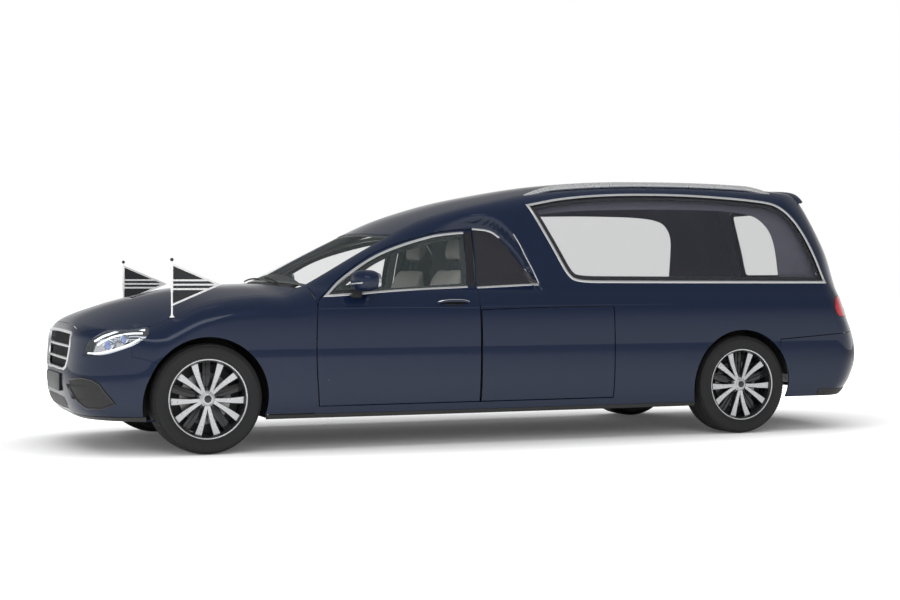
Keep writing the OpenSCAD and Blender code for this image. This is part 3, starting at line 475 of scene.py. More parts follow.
def project(view: View, flat: np.ndarray) -> np.ndarray:
    """Lays an outline on the surface.

    Args:
        view: where it is drawn from.
        flat: points, two numbers a row.

    Returns:
        Points on the surface.
    """
    a, b = flat[:, 0].astype(float), flat[:, 1].astype(float)
    zero = np.zeros(len(flat))
    if view is View.SIDE:
        return BODY.hit(np.stack([a, zero, b], 1), np.tile([0.0, 1.0, 0.0], (len(flat), 1)))
    if view is View.TOP:
        return BODY.hit(np.stack([a, b, zero + 560], 1), np.tile(UP, (len(flat), 1)))
    start, way = (CORNER_X, -1.0) if view is View.REAR else (NOSE_X, 1.0)
    return BODY.hit(np.stack([zero + start, a, b], 1), np.tile([way, 0.0, 0.0], (len(flat), 1)))


def smooth_line(points: Sequence[Sequence[float]], spacing: float, closed: bool,
                corner: float = 34) -> np.ndarray:
    """Points along a smooth line through the given ones, with sharp turns kept.

    Args:
        points: the line's points, two or three numbers each.
        spacing: about how far apart the new points lie.
        closed: whether the line ends where it starts.
        corner: turns sharper than this stay sharp, in degrees.

    Returns:
        The new points.
    """
    p = np.asarray(points, float)
    n = len(p)
    turn = np.zeros(n)
    for i in range(n):
        if closed or 0 < i < n - 1:
            a, b = unit(p[i] - p[i - 1]), unit(p[(i + 1) % n] - p[i])
            turn[i] = math.degrees(math.acos(float(np.clip(a @ b, -1, 1))))
    sharp = [i for i in range(n) if turn[i] > corner]
    if closed:
        first = sharp[0] if sharp else 0
        p = np.roll(p, -first, axis=0)
        marks = [i - first for i in sharp] or [0]
        wrap = not sharp
        p = np.vstack([p, p[:1]])
        marks.append(n)
    else:
        marks, wrap = [0, *[i for i in sharp if 0 < i < n - 1], n - 1], False
    runs = []
    for a, b in zip(marks[:-1], marks[1:]):
        part = p[a:b + 1]
        at = np.concatenate([[0], np.cumsum(np.linalg.norm(np.diff(part, axis=0), axis=1))])
        count = max(int(round(at[-1] / spacing)), 1)
        want = np.linspace(0, at[-1], count + 1)[:-1]
        if wrap:
            long_part = np.vstack([part[-3:-1], part, part[1:3]])
            long_at = np.concatenate([[0], np.cumsum(np.linalg.norm(np.diff(long_part, axis=0), axis=1))])
            want, part, at = want + long_at[2], long_part, long_at
        runs.append(np.stack([hermite(np.stack([at, part[:, k]], 1), want) for k in range(p.shape[1])], 1))
    if not closed:
        runs.append(p[-1:])
    return np.vstack(runs)


def both_sides(half_outline: Sequence[Sequence[float]], across: int) -> list[tuple[float, float]]:
    """A half outline with its mirror image, which runs back along the other side.

    Args:
        half_outline: points from the centre line outwards and back.
        across: which of the two numbers is Y.

    Returns:
        The whole outline.
    """
    flip = [-1 if k == across else 1 for k in range(2)]
    mirrored = [(q[0] * flip[0], q[1] * flip[1]) for q in reversed(half_outline)]
    return [tuple(q) for q in half_outline] + [q for q in mirrored if q not in half_outline]


class Chart(Enum):
    """How a panel is laid flat to be cut: each part of the body has one that suits it."""

    SIDE = -1
    TOP = 1
    TAIL = 2
    NOSE = 3
    GATE = 4

    def flat(self, p: np.ndarray) -> np.ndarray:
        """Surface points to flat ones.

        Args:
            p: points on the body surface.

        Returns:
            The flat points.
        """
        if self is Chart.SIDE:
            return np.stack([p[:, 0], np.arctan2(p[:, 2] - 900, p[:, 1]) * 900], 1)
        if self is Chart.TOP:
            return p[:, :2].copy()
        if self is Chart.GATE:
            return np.stack([-p[:, 1], np.arctan2(p[:, 2] - 1000, RA - 450 - p[:, 0]) * 700], 1)
        middle, x0 = (math.pi / 2, CORNER_X) if self is Chart.TAIL else (-math.pi / 2, NOSE_X)
        angle = np.arctan2(x0 - p[:, 0], p[:, 1]) - middle
        angle = (angle + math.pi) % (2 * math.pi) - math.pi
        return np.stack([angle * 700, p[:, 2]], 1)

    def surface(self, q: np.ndarray) -> np.ndarray:
        """Flat points to surface ones.

        Args:
            q: flat points.

        Returns:
            The points on the body surface.
        """
        zero = np.zeros(len(q))
        if self is Chart.SIDE:
            angle = q[:, 1] / 900
            return BODY.hit(np.stack([q[:, 0], zero, zero + 900], 1),
                            np.stack([zero, np.cos(angle), np.sin(angle)], 1))
        if self is Chart.TOP:
            return project(View.TOP, q)
        if self is Chart.GATE:
            angle = q[:, 1] / 700
            return BODY.hit(np.stack([zero + RA - 450, -q[:, 0], zero + 1000], 1),
                            np.stack([-np.cos(angle), zero, np.sin(angle)], 1))
        middle, x0 = (math.pi / 2, CORNER_X) if self is Chart.TAIL else (-math.pi / 2, NOSE_X)
        angle = q[:, 0] / 700 + middle
        return BODY.hit(np.stack([zero + x0, zero, q[:, 1]], 1),
                        np.stack([-np.sin(angle), np.cos(angle), zero], 1))

    @property
    def hand(self) -> int:
        """1 where the flat picture is seen from outside, -1 where it is a mirror image."""
        return -1 if self is Chart.SIDE else 1


# ---- meshes ----------------------------------------------------------------------------------


@dataclass
class Shape:
    """A mesh in the making, in metres."""

    points: np.ndarray
    faces: list
    slots: list = field(default_factory=list)
    normals: Optional[np.ndarray] = None
    uv: Optional[np.ndarray] = None

    def __post_init__(self) -> None:
        """Gives every face the first finish if none is named."""
        self.slots = self.slots or [0] * len(self.faces)

    def plus(self, *others: "Shape") -> "Shape":
        """This shape and others as one.

        Args:
            others: the other shapes.

        Returns:
            The joined shape.
        """
        points, faces, slots, normals = [], [], [], []
        start = 0
        for s in (self, *others):
            points.append(s.points)
            faces += [tuple(i + start for i in f) for f in s.faces]
            slots += s.slots
            normals.append(s.normals if s.normals is not None else np.zeros((len(s.points), 3)))
            start += len(s.points)
        kept = None if all(s.normals is None for s in (self, *others)) else np.vstack(normals)
        return Shape(np.vstack(points), faces, slots, kept)

    def mirrored(self) -> "Shape":
        """The shape on the car's other side, still facing outwards.

        Returns:
            The mirrored shape.
        """
        flip = np.array([1.0, -1.0, 1.0])
        normals = None if self.normals is None else self.normals * flip
        return Shape(self.points * flip, [tuple(reversed(f)) for f in self.faces], list(self.slots), normals)

    def moved(self, offset: Sequence[float]) -> "Shape":
        """The shape, moved."""
        return Shape(self.points + np.asarray(offset, float), self.faces, self.slots, self.normals, self.uv)

    def turned(self, matrix: Matrix) -> "Shape":
        """The shape, turned and moved by a 4x4 matrix.

        Args:
            matrix: the 4x4 matrix.

        Returns:
            The turned shape.
        """
        m = np.array(matrix)
        normals = None if self.normals is None else self.normals @ m[:3, :3].T
        return Shape(self.points @ m[:3, :3].T + m[:3, 3], self.faces, self.slots, normals, self.uv)

    def painted(self, slot: int) -> "Shape":
        """The shape with one finish number on all its faces."""
        return Shape(self.points, self.faces, [slot] * len(self.faces), self.normals, self.uv)

    def mesh(self, name: str) -> bpy.types.Mesh:
        """The shape as a Blender mesh.

        Args:
            name: the mesh's name.

        Returns:
            The new mesh.
        """
        mesh = bpy.data.meshes.new(name)
        mesh.from_pydata([tuple(p) for p in self.points], [], self.faces)
        mesh.update()
        mesh.polygons.foreach_set("material_index", self.slots)
        mesh.polygons.foreach_set("use_smooth", [True] * len(self.faces))
        if self.uv is not None:
            layer = mesh.uv_layers.new(name="UVMap")
            corners = np.zeros(len(mesh.loops), int)
            mesh.loops.foreach_get("vertex_index", corners)
            layer.data.foreach_set("uv", self.uv[corners].ravel())
        if self.normals is not None:
            mesh.normals_split_custom_set_from_vertices([tuple(n) for n in self.normals])
        else:
            mesh.set_sharp_from_angle(angle=math.radians(38))
        return mesh


def place(shape: Shape, name: str, body: str, *finishes: Finish, stands_for: Sequence[str] = (),
          slot: Optional[str] = None) -> bpy.types.Object:
    """Makes a shape a piece of the model.

    Args:
        shape: what to show.
        name: the piece's name.
        body: the CAD body that it moves with.
        finishes: its finishes, in the order of the shape's slots.
        stands_for: CAD nodes that it replaces.
        slot: the record's material slot; not used.

    Returns:
        The new object.
    """
    piece = bpy.data.objects.new(name, shape.mesh(name))
    bpy.context.scene.collection.objects.link(piece)
    for finish in finishes:
        piece.data.materials.append(finish.material())
    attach(piece, body)
    if stands_for:
        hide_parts(*stands_for)
    log.info("%s: %d faces", name, len(shape.faces))
    return piece


def place_pair(shape: Shape, name: str, body: str, *finishes: Finish, stands_for: str = "",
               slot: Optional[str] = None) -> list[bpy.types.Object]:
    """Places a shape on the left and its mirror image on the right.

    Args:
        shape: the left shape.
        name: the pieces' name, before _left and _right.
        body: the body, or its name before _left and _right, ended by an underscore.
        finishes: the finishes.
        stands_for: the CAD node's name before _left and _right.
        slot: the record's material slot.

    Returns:
        The left and the right piece.
    """
    made = []
    for side, part in (("left", shape), ("right", shape.mirrored())):
        nodes = [f"{stands_for}_{side}"] if stands_for else []
        to = body + side if body.endswith("_") else body
        made.append(place(part, f"{name}_{side}", to, *finishes, stands_for=nodes, slot=slot))
    return made


def frame_of(line: np.ndarray, normal: np.ndarray, closed: bool) -> np.ndarray:
    """For a line on the surface, the direction across it, away from its left, stretched at corners.

    Args:
        line: the line's points.
        normal: the surface's normals there.
        closed: whether the line is a loop.

    Returns:
        A vector for each point.
    """
    if closed:
        before, after = line - np.roll(line, 1, axis=0), np.roll(line, -1, axis=0) - line
    else:
        step = np.diff(line, axis=0)
        before, after = np.vstack([step[:1], step]), np.vstack([step, step[-1:]])
    before, after = unit(before), unit(after)
    across = unit(np.cross(unit(before + after), normal))
    half_turn = np.sqrt(np.clip((1 + np.sum(before * after, axis=1)) / 2, 0.2, 1))
    return across / half_turn[:, None]


def skirt(x: float, z: float, ways: np.ndarray) -> np.ndarray:
    """Surface points at one height, seen from a point on the centreline.

    Args:
        x: the centreline point.
        z: the height.
        ways: x and y of each direction.

    Returns:
        The points.
    """
    zero = np.zeros(len(ways))
    return BODY.hit(np.stack([zero + x, zero, zero + z], 1), np.column_stack([ways, zero]))


def nose_hit(p: np.ndarray) -> np.ndarray:
    """The surface straight ahead of points, at their y and z."""
    return BODY.hit(np.stack([np.full(len(p), NOSE_X), p[:, 1], p[:, 2]], 1),
                    np.tile([1.0, 0, 0], (len(p), 1)))


def turned_out(rim: np.ndarray) -> np.ndarray:
    """A loop run so that its across direction points out of the opening.

    Args:
        rim: a closed line on the surface.

    Returns:
        The line, reversed where needed.
    """
    across = frame_of(rim, BODY.normal(rim), True)
    out = float(np.sum(across * (rim - rim.mean(axis=0))))
    return rim if out > 0 else rim[::-1]


def inside(points: np.ndarray, loops: Sequence[np.ndarray]) -> np.ndarray:
    """Which flat points lie within an odd number of loops.

    Args:
        points: flat points.
        loops: closed flat lines.

    Returns:
        True or False for each point.
    """
    hit = np.zeros(len(points), bool)
    x, y = points[:, 0], points[:, 1]
    for loop in loops:
        for (x0, y0), (x1, y1) in zip(loop, np.roll(loop, -1, axis=0)):
            crosses = (y0 > y) != (y1 > y)
            if y0 != y1:
                hit ^= crosses & (x < (x1 - x0) * (y - y0) / (y1 - y0) + x0)
    return hit


def area_of(loop: np.ndarray) -> float:
    """Signed area of a flat loop."""
    nxt = np.roll(loop, -1, axis=0)
    return float(np.sum(loop[:, 0] * nxt[:, 1] - nxt[:, 0] * loop[:, 1])) / 2


@dataclass
class Panel:
    """A sheet cut from the body's surface, with rounded edges and an inner face."""

    chart: Chart
    outer: np.ndarray
    holes: Sequence[np.ndarray] = ()
    gap: float = SEAM
    hole_gap: float = SEAM
    edge: float = 1.6
    thick: float = 20.0
    spacing: float = 26.0
    sink: float = 0.0
    inner_slot: int = 0

    def shape(self) -> Shape:
        """Cuts the panel.

        Returns:
            Its shape, in metres.
        """
        rims, flats, edges, sizes = [], [], [], []
        start = 0
        for number, loop in enumerate([self.outer, *self.holes]):
            want = self.chart.hand if number == 0 else -self.chart.hand
            if area_of(self.chart.flat(loop)) * want < 0:
                loop = loop[::-1]
            normal = BODY.normal(loop)
            across = frame_of(loop, normal, True)
            gap = self.gap if number == 0 else self.hole_gap
            flat = self.chart.flat(loop - across * (gap + self.edge))
            rims.append(across)
            flats.append(flat)
            n = len(loop)
            edges += [(start + i, start + (i + 1) % n) for i in range(n)]
            sizes.append(n)
            start += n
        rim_flat = np.vstack(flats)
        lattice = self._lattice(rim_flat, flats)
        flat = np.vstack([rim_flat, lattice])
        out = delaunay_2d_cdt([Vector(q) for q in flat], edges, [], 0, 1e-6)
        source = np.array([o[0] if o else -1 for o in out[3]])
        corners = np.array([v[:] for v in out[0]])
        triangles = [f for f in out[2] if all(source[i] >= 0 for i in f)]
        centres = np.array([corners[list(f)].mean(axis=0) for f in triangles])
        keep = inside(centres, flats)
        triangles = np.array([[source[i] for i in f] for f, k in zip(triangles, keep) if k])
        if self.chart.hand < 0:
            triangles = triangles[:, ::-1]
        return self._solid(self.chart.surface(flat), triangles, np.vstack(rims), sizes)

    def _lattice(self, rim: np.ndarray, loops: Sequence[np.ndarray]) -> np.ndarray:
        """Points over the panel's inside, clear of its edges.

        Args:
            rim: every edge point, flat.
            loops: the edges, flat.

        Returns:
            Flat points.
        """
        low, high = rim.min(axis=0), rim.max(axis=0)
        rows = []
        for k, y in enumerate(np.arange(low[1], high[1], self.spacing * 0.866)):
            x = np.arange(low[0] + (k % 2) * self.spacing / 2, high[0], self.spacing)
            rows.append(np.stack([x, np.full(len(x), y)], 1))
        points = np.vstack(rows)
        points = points[inside(points, loops)]
        clear = [np.min(np.linalg.norm(part[:, None] - rim[None], axis=2), axis=1)
                 for part in np.array_split(points, max(len(points) // 400, 1))]
        return points[np.concatenate(clear) > self.spacing * 0.5]

    def _solid(self, skin: np.ndarray, triangles: np.ndarray, across: np.ndarray,
               sizes: Sequence[int]) -> Shape:
        """Adds the rounded edge and the inner face.

        Args:
            skin: surface points, the edge's first.
            triangles: the skin's triangles.
            across: the edge's outward directions.
            sizes: how many points each edge has.

        Returns:
            The closed shape.
        """
        normal = BODY.normal(skin)
        skin = skin - normal * self.sink
        n, m = len(skin), len(across)
        rim, rim_normal = skin[:m], normal[:m]
        inner = skin - normal * self.thick
        first = rim + across * self.edge - rim_normal * self.edge
        second = rim + across * self.edge - rim_normal * (self.thick - self.edge)
        points = np.vstack([skin, inner, first, second])
        shade = unit(across)
        normals = np.vstack([normal, -normal, unit(shade + rim_normal * 0.35),
                             unit(shade - rim_normal * 0.35)])
        faces = [tuple(int(i) for i in t) for t in triangles]
        slots = [0] * len(faces)
        faces += [tuple(int(i) + n for i in t[::-1]) for t in triangles]
        slots += [self.inner_slot] * len(triangles)
        start = 0
        for size in sizes:
            for i in range(size):
                a, b = start + i, start + (i + 1) % size
                rings = [(a, b), (2 * n + a, 2 * n + b), (2 * n + m + a, 2 * n + m + b), (n + a, n + b)]
                for (p, q), (r, s) in zip(rings[:-1], rings[1:]):
                    faces.append((p, r, s, q))
                    slots.append(0)
            start += size
        return Shape(points * MM, faces, slots, normals)


def outline(view: View, points: Sequence[Sequence[float]], spacing: float = 22, closed: bool = True,
            corner: float = 34) -> np.ndarray:
    """A smooth outline laid on the surface.

    Args:
        view: where it is drawn from.
        points: its points.
        spacing: about how far apart the new points lie.
        closed: whether it is a loop.
        corner: turns sharper than this stay sharp.

    Returns:
        Points on the surface, in millimetres.
    """
    return project(view, smooth_line(points, spacing, closed, corner))


def sweep(path: np.ndarray, side: np.ndarray, up: np.ndarray, section: Sequence[Sequence[float]],
          closed: bool = False, grow: Optional[np.ndarray] = None) -> Shape:
    """Draws a closed section along a path, in millimetres.

    Args:
        path: the path's points.
        side: the section's first direction at each point.
        up: its second direction.
        section: the section's points, anticlockwise seen with side to the right and up upwards.
        closed: whether the path is a loop.
        grow: a size factor at each point.

    Returns:
        The closed shape, in metres.
    """
    s = np.asarray(section, float)
    n, m = len(path), len(s)
    size = np.ones(n) if grow is None else grow
    points = (path[:, None] + side[:, None] * (s[None, :, :1] * size[:, None, None])
              + up[:, None] * (s[None, :, 1:] * size[:, None, None])).reshape(-1, 3)
    faces = []
    for i in range(n if closed else n - 1):
        a, b = i * m, (i + 1) % n * m
        faces += [(a + j, a + (j + 1) % m, b + (j + 1) % m, b + j) for j in range(m)]
    if not closed:
        faces += [tuple(reversed(range(m))), tuple((n - 1) * m + j for j in range(m))]
    shape = Shape(points * MM, faces)
    return shape if volume(shape) > 0 else Shape(shape.points, [tuple(reversed(f)) for f in faces])


def volume(shape: Shape) -> float:
    """Signed volume, which is above 0 when the faces point outwards.

    Args:
        shape: a closed shape.

    Returns:
        The volume in cubic metres.
    """
    p = shape.points - shape.points.mean(axis=0)
    total = 0.0
    for f in shape.faces:
        for i in range(1, len(f) - 1):
            total += float(np.dot(p[f[0]], np.cross(p[f[i]], p[f[i + 1]])))
    return total / 6


def strip(line: np.ndarray, section: Sequence[Sequence[float]], closed: bool = True) -> Shape:
    """A trim strip on the body: the section's first number runs across the line, its second outwards.

    Args:
        line: points on the surface.
        section: the strip's section.
        closed: whether the line is a loop.

    Returns:
        The strip.
    """
    normal = BODY.normal(line)
    return sweep(line, frame_of(line, normal, closed), normal, section, closed)


def round_bar(width: float, height: float, steps: int = 10) -> list[tuple[float, float]]:
    """A section that is flat below and crowned above, across from -width/2 to width/2."""
    arc = [(width / 2 * math.cos(a), height * math.sin(a)) for a in np.linspace(0, math.pi, steps)]
    return arc + [(-width / 2, -2.0), (width / 2, -2.0)]


def circle(radius: float, steps: int = 16) -> list[tuple[float, float]]:
    """A round section."""
    return [(radius * math.cos(a), radius * math.sin(a))
            for a in np.linspace(0, 2 * math.pi, steps, endpoint=False)]


def tube(points: Sequence[Sequence[float]], radius: float, steps: int = 12, spacing: float = 12,
         closed: bool = False) -> Shape:
    """A round bar along a smooth line, in millimetres.

    Args:
        points: the line's points.
        radius: the bar's radius.
        steps: how many faces go round it.
        spacing: about how far apart its rings lie.
        closed: whether it is a loop.

    Returns:
        The bar.
    """
    path = smooth_line(points, spacing, closed, 180)
    if closed:
        along = unit(np.roll(path, -1, axis=0) - np.roll(path, 1, axis=0))
    else:
        along = unit(np.gradient(path, axis=0))
    first = UP if abs(along[0] @ UP) < 0.9 else np.array([1.0, 0.0, 0.0])
    side = unit(np.cross(along, np.tile(first, (len(path), 1))))
    for i in range(1, len(path)):
        v = side[i - 1] - along[i] * (side[i - 1] @ along[i])
        side[i] = unit(v[None])[0]
    return sweep(path, side, unit(np.cross(along, side)), circle(radius, steps), closed)


def lathe(profile: Sequence[Sequence[float]], steps: int = 96, closed: bool = False) -> Shape:
    """Turns a profile of radius and place along Y round the Y axis, in millimetres.

    Args:
        profile: its points.
        steps: how many faces go round.
        closed: whether the profile is a loop; if not, it starts and ends on the axis.

    Returns:
        The closed shape.
    """
    p = np.asarray(profile, float)
    angle = np.linspace(0, 2 * math.pi, steps, endpoint=False)
    points, rows = [], []
    for r, y in p:
        if r < 1e-6:
            rows.append([len(points)] * steps)
            points.append((0, y, 0))
        else:
            rows.append(list(range(len(points), len(points) + steps)))
            points += [(r * math.cos(a), y, r * math.sin(a)) for a in angle]
    faces = []
    pairs = list(zip(rows, rows[1:] + rows[:1])) if closed else list(zip(rows[:-1], rows[1:]))
    for lower, upper in pairs:
        for i in range(steps):
            j = (i + 1) % steps
            quad = [lower[i], lower[j], upper[j], upper[i]]
            faces.append(tuple(dict.fromkeys(quad)))
    shape = Shape(np.array(points, float) * MM, faces)
    return shape if volume(shape) > 0 else Shape(shape.points, [tuple(reversed(f)) for f in faces])


def block(low: Sequence[float], high: Sequence[float], rounding: float = 8, steps: int = 3) -> Shape:
    """A box with rounded edges, in millimetres.

    Args:
        low: lowest corner.
        high: highest corner.
        rounding: the edges' radius.
        steps: faces across each edge.

    Returns:
        The shape.
    """
    mesh = bmesh.new()
    bmesh.ops.create_cube(mesh, size=1)
    low, high = np.asarray(low, float), np.asarray(high, float)
    for v in mesh.verts:
        v.co = Vector((low + high) / 2 + np.array(v.co) * (high - low))
    bmesh.ops.bevel(mesh, geom=list(mesh.edges), offset=rounding, segments=steps, profile=0.5, affect="EDGES")
    return from_bmesh(mesh)


def from_bmesh(mesh: bmesh.types.BMesh) -> Shape:
    """A bmesh in millimetres as a shape; the bmesh is freed.

    Args:
        mesh: the bmesh.

    Returns:
        The shape in metres.
    """
    bmesh.ops.recalc_face_normals(mesh, faces=mesh.faces)
    mesh.verts.index_update()
    shape = Shape(np.array([v.co[:] for v in mesh.verts]) * MM,
                  [tuple(v.index for v in f.verts) for f in mesh.faces])
    mesh.free()
    return shape


def extrude(flat: np.ndarray, low: float, high: float, axis: int = 1) -> Shape:
    """A flat outline drawn out along an axis, in millimetres.

    Args:
        flat: the outline, two numbers a row, in the other two axes' order.
        low: where it starts.
        high: where it ends.
        axis: the axis that it runs along.

    Returns:
        The closed shape.
    """
    others = [k for k in range(3) if k != axis]
    n = len(flat)
    points = np.zeros((2 * n, 3))
    points[:n, others], points[n:, others] = flat, flat
    points[:n, axis], points[n:, axis] = low, high
    faces = [tuple(range(n)), tuple(reversed(range(n, 2 * n)))]
    faces += [((i + 1) % n, i, n + i, n + (i + 1) % n) for i in range(n)]
    shape = Shape(points * MM, faces)
    return shape if volume(shape) > 0 else Shape(shape.points, [tuple(reversed(f)) for f in faces])


# ---- what repeats ----------------------------------------------------------------------------


@dataclass
class Repeater:
    """Geometry Nodes that copy a shape round the Y axis or along a line."""

    tree: Optional[bpy.types.NodeTree] = None
    sockets: dict = field(default_factory=dict)

    def __post_init__(self) -> None:
        """Builds the node tree."""
        tree = bpy.data.node_groups.new("repeat_shape", "GeometryNodeTree")
        face = tree.interface
        face.new_socket("Geometry", in_out="INPUT", socket_type="NodeSocketGeometry")
        for name, kind in (("Count", "NodeSocketInt"), ("Turn", "NodeSocketFloat"),
                           ("Start", "NodeSocketVector"),
                           ("Step", "NodeSocketVector"), ("Finish", "NodeSocketMaterial")):
            self.sockets[name] = face.new_socket(name, in_out="INPUT", socket_type=kind).identifier
        face.new_socket("Geometry", in_out="OUTPUT", socket_type="NodeSocketGeometry")
        nodes, links = tree.nodes, tree.links
        source, sink = nodes.new("NodeGroupInput"), nodes.new("NodeGroupOutput")
        points = nodes.new("GeometryNodePoints")
        number = nodes.new("GeometryNodeInputIndex")
        spread = nodes.new("ShaderNodeVectorMath")
        spread.operation = "MULTIPLY_ADD"
        links.new(number.outputs[0], spread.inputs[0])
        links.new(source.outputs["Step"], spread.inputs[1])
        links.new(source.outputs["Start"], spread.inputs[2])
        angle = nodes.new("ShaderNodeMath")
        angle.operation = "MULTIPLY"
        links.new(number.outputs[0], angle.inputs[0])
        links.new(source.outputs["Turn"], angle.inputs[1])
        turn = nodes.new("ShaderNodeCombineXYZ")
        links.new(angle.outputs[0], turn.inputs["Y"])
        copies = nodes.new("GeometryNodeInstanceOnPoints")
        links.new(source.outputs["Count"], points.inputs["Count"])
        links.new(spread.outputs[0], points.inputs["Position"])
        links.new(points.outputs[0], copies.inputs["Points"])
        links.new(source.outputs["Geometry"], copies.inputs["Instance"])
        links.new(turn.outputs[0], copies.inputs["Rotation"])
        real, paint = nodes.new("GeometryNodeRealizeInstances"), nodes.new("GeometryNodeSetMaterial")
        links.new(copies.outputs[0], real.inputs[0])
        links.new(real.outputs[0], paint.inputs["Geometry"])
        links.new(source.outputs["Finish"], paint.inputs["Material"])
        links.new(paint.outputs[0], sink.inputs[0])
        self.tree = tree

    def copies(self, shape: Shape, count: int, finish: Finish, turn: float = 0.0,
               start: Sequence[float] = (0, 0, 0), step: Sequence[float] = (0, 0, 0)) -> Shape:
        """Copies a shape.

        Args:
            shape: what to copy, about the origin.
            count: how many.
            finish: their finish.
            turn: the angle about Y from one to the next, in radians.
            start: the first one's place, in millimetres.
            step: from one to the next, in millimetres.

        Returns:
            All the copies as one shape.
        """
        mesh = shape.mesh("repeat_source")
        carrier = bpy.data.objects.new("repeat_source", mesh)
        bpy.context.scene.collection.objects.link(carrier)
        modifier = carrier.modifiers.new("repeat", "NODES")
        modifier.node_group = self.tree
        modifier[self.sockets["Count"]] = count
        modifier[self.sockets["Turn"]] = turn
        modifier[self.sockets["Start"]] = [v * MM for v in start]
        modifier[self.sockets["Step"]] = [v * MM for v in step]
        modifier[self.sockets["Finish"]] = finish.material()
        carrier.update_tag()
        bpy.context.view_layer.update()
        result = bpy.data.meshes.new_from_object(carrier.evaluated_get(bpy.context.evaluated_depsgraph_get()))
        points = np.array([v.co[:] for v in result.vertices])
        faces = [tuple(p.vertices) for p in result.polygons]
        bpy.data.objects.remove(carrier)
        bpy.data.meshes.remove(result)
        return Shape(points, faces)


# ---- outlines --------------------------------------------------------------------------------

SILL = 272
DOOR = [(DOOR_REAR + 2, SILL), (DOOR_FRONT - 14, SILL), (DOOR_FRONT + 2, 440), (DOOR_FRONT + 10, 620),
        (DOOR_FRONT + 4, 800), (DOOR_FRONT - 8, 915), (DOOR_FRONT - 32, 950), (FA - 882, 1082),
        (FA - 1000, 1163),
        (FA - 1104, 1224), (FA - 1220, 1274), (FA - 1334, 1312), (FA - 1440, 1342), (FA - 1556, 1369),
        (FA - 1698, 1388), (DOOR_REAR - 30, 1394), (DOOR_REAR - 4, 1006), (DOOR_REAR, 900)]
DOOR_WINDOW = [(FA - 1726, 1019), (FA - 1262, 998), (FA - 770, 966), (FA - 890, 1058), (FA - 1008, 1137),
               (FA - 1112, 1196), (FA - 1228, 1246), (FA - 1342, 1284), (FA - 1448, 1314), (FA - 1560, 1340),
               (FA - 1700, 1358), (FA - 1753, 1361)]
QUARTER_WINDOW = [(FA - 2225, 1036), (DOOR_REAR - 14, 1015), (DOOR_REAR - 40, 1388), (FA - 1915, 1380),
                  (FA - 1960, 1364), (FA - 2000, 1333), (FA - 2040, 1290), (FA - 2082, 1235),
                  (FA - 2125, 1170),
                  (FA - 2166, 1115)]
LOAD_WINDOW = [(FA - 2214, 1552), (FA - 2408, 1172), (FA - 2448, 1105), (FA - 2486, 1070), (FA - 2560, 1056),
               (FA - 2680, 1052), (RA - 400, 1048), (RA - 716, 1048), (RA - 690, 1115), (RA - 664, 1185),
               (RA - 602, 1330), (RA - 552, 1425), (RA - 500, 1500), (RA - 440, 1556), (RA - 370, 1590),
               (RA - 250, 1608), (RA - 50, 1624), (RA + 330, 1640), (RA + 740, 1638), (FA - 2690, 1622),
               (FA - 2440, 1594)]
HATCH = [(DOOR_REAR - 2, SILL), (HATCH_REAR, SILL), (HATCH_REAR, 886), (FA - 2300, 882), (DOOR_REAR - 2, 870)]
HEADLIGHT_BACK = [(FA + 450, 664), (FA + 400, 694), (FA + 352, 732), (FA + 336, 764), (FA + 346, 786),
                  (FA + 400, 792), (FA + 450, 789)]
HEADLIGHT_FRONT = [(FA + 450, 664), (FA + 560, 622), (FA + 640, 604), (FA + 705, 606), (FA + 680, 680),
                   (FA + 630, 730), (FA + 560, 766), (FA + 480, 786), (FA + 450, 789)]
BONNET_HALF = [(FA - 480, 0), (FA - 500, 260), (FA - 545, 500), (FA - 612, 690), (FA - 560, 742),
               (FA - 330, 764), (FA - 50, 782), (FA + 200, 790), (FA + 350, 776), (FA + 450, 754),
               (FA + 500, 738), (FA + 600, 694), (FA + 680, 628), (FA + 716, 540), (FA + 724, 300),
               (FA + 726, 0)]
WINDSCREEN_HALF = [(FA - 540, 0), (FA - 556, 260), (FA - 606, 520), (FA - 662, 706), (FA - 977, 652),
                   (FA - 1282, 592), (FA - 1240, 400), (FA - 1226, 200), (FA - 1221, 0)]
ROOF_SIDE = [(FA - 1282, 592), (FA - 1850, 584), (FA - 2250, 588), (RA + 400, 600), (RA - 400, 592),
             (TAIL_CUT, 567)]
GATE_HALF = [(0, 668), (560, 672), (612, 700), (620, 770), (640, 900), (660, 1000), (650, 1150), (628, 1300),
             (598, 1450), (566, 1600), (560, 1660)]
GATE_WINDOW_HALF = [(0, 1062), (560, 1062), (592, 1090), (590, 1180), (566, 1330), (534, 1470), (505, 1560),
                    (470, 1588), (0, 1600)]
GRILLE_HALF = [(0, 500), (330, 502), (400, 520), (432, 560), (458, 640), (466, 700), (456, 732), (420, 742),
               (0, 748)]
LAMP_SIDE = [(RA - 845, 798), (RA - 800, 806), (RA - 776, 840), (RA - 775, 880), (RA - 795, 920),
             (RA - 840, 942),
             (RA - 880, 946)]
LAMP_REAR = [(720, 946), (690, 942), (672, 925), (668, 875), (668, 824), (690, 800), (730, 797)]


def arch_line(x: float, start: float, end: float) -> list[tuple[float, float]]:
    """The wheel arch's lip in side view.

    Args:
        x: the axle.
        start: the first height, ahead of the axle if positive, behind it if negative.
        end: the last height, with the other sign.

    Returns:
        Points from the first height over the top to the last.
    """
    def angle(height: float) -> float:
        """The angle at which the lip has this height."""
        rise = math.asin((abs(height) - HUB) / ARCH_R)
        return rise if height > 0 else math.pi - rise

    return [(x + ARCH_R * math.cos(a), HUB + ARCH_R * math.sin(a))
            for a in np.linspace(angle(start), angle(end), 40)]


def line(view: View, points: Sequence[Sequence[float]], spacing: float = 22) -> np.ndarray:
    """An open smooth line on the surface."""
    return outline(view, points, spacing, closed=False)


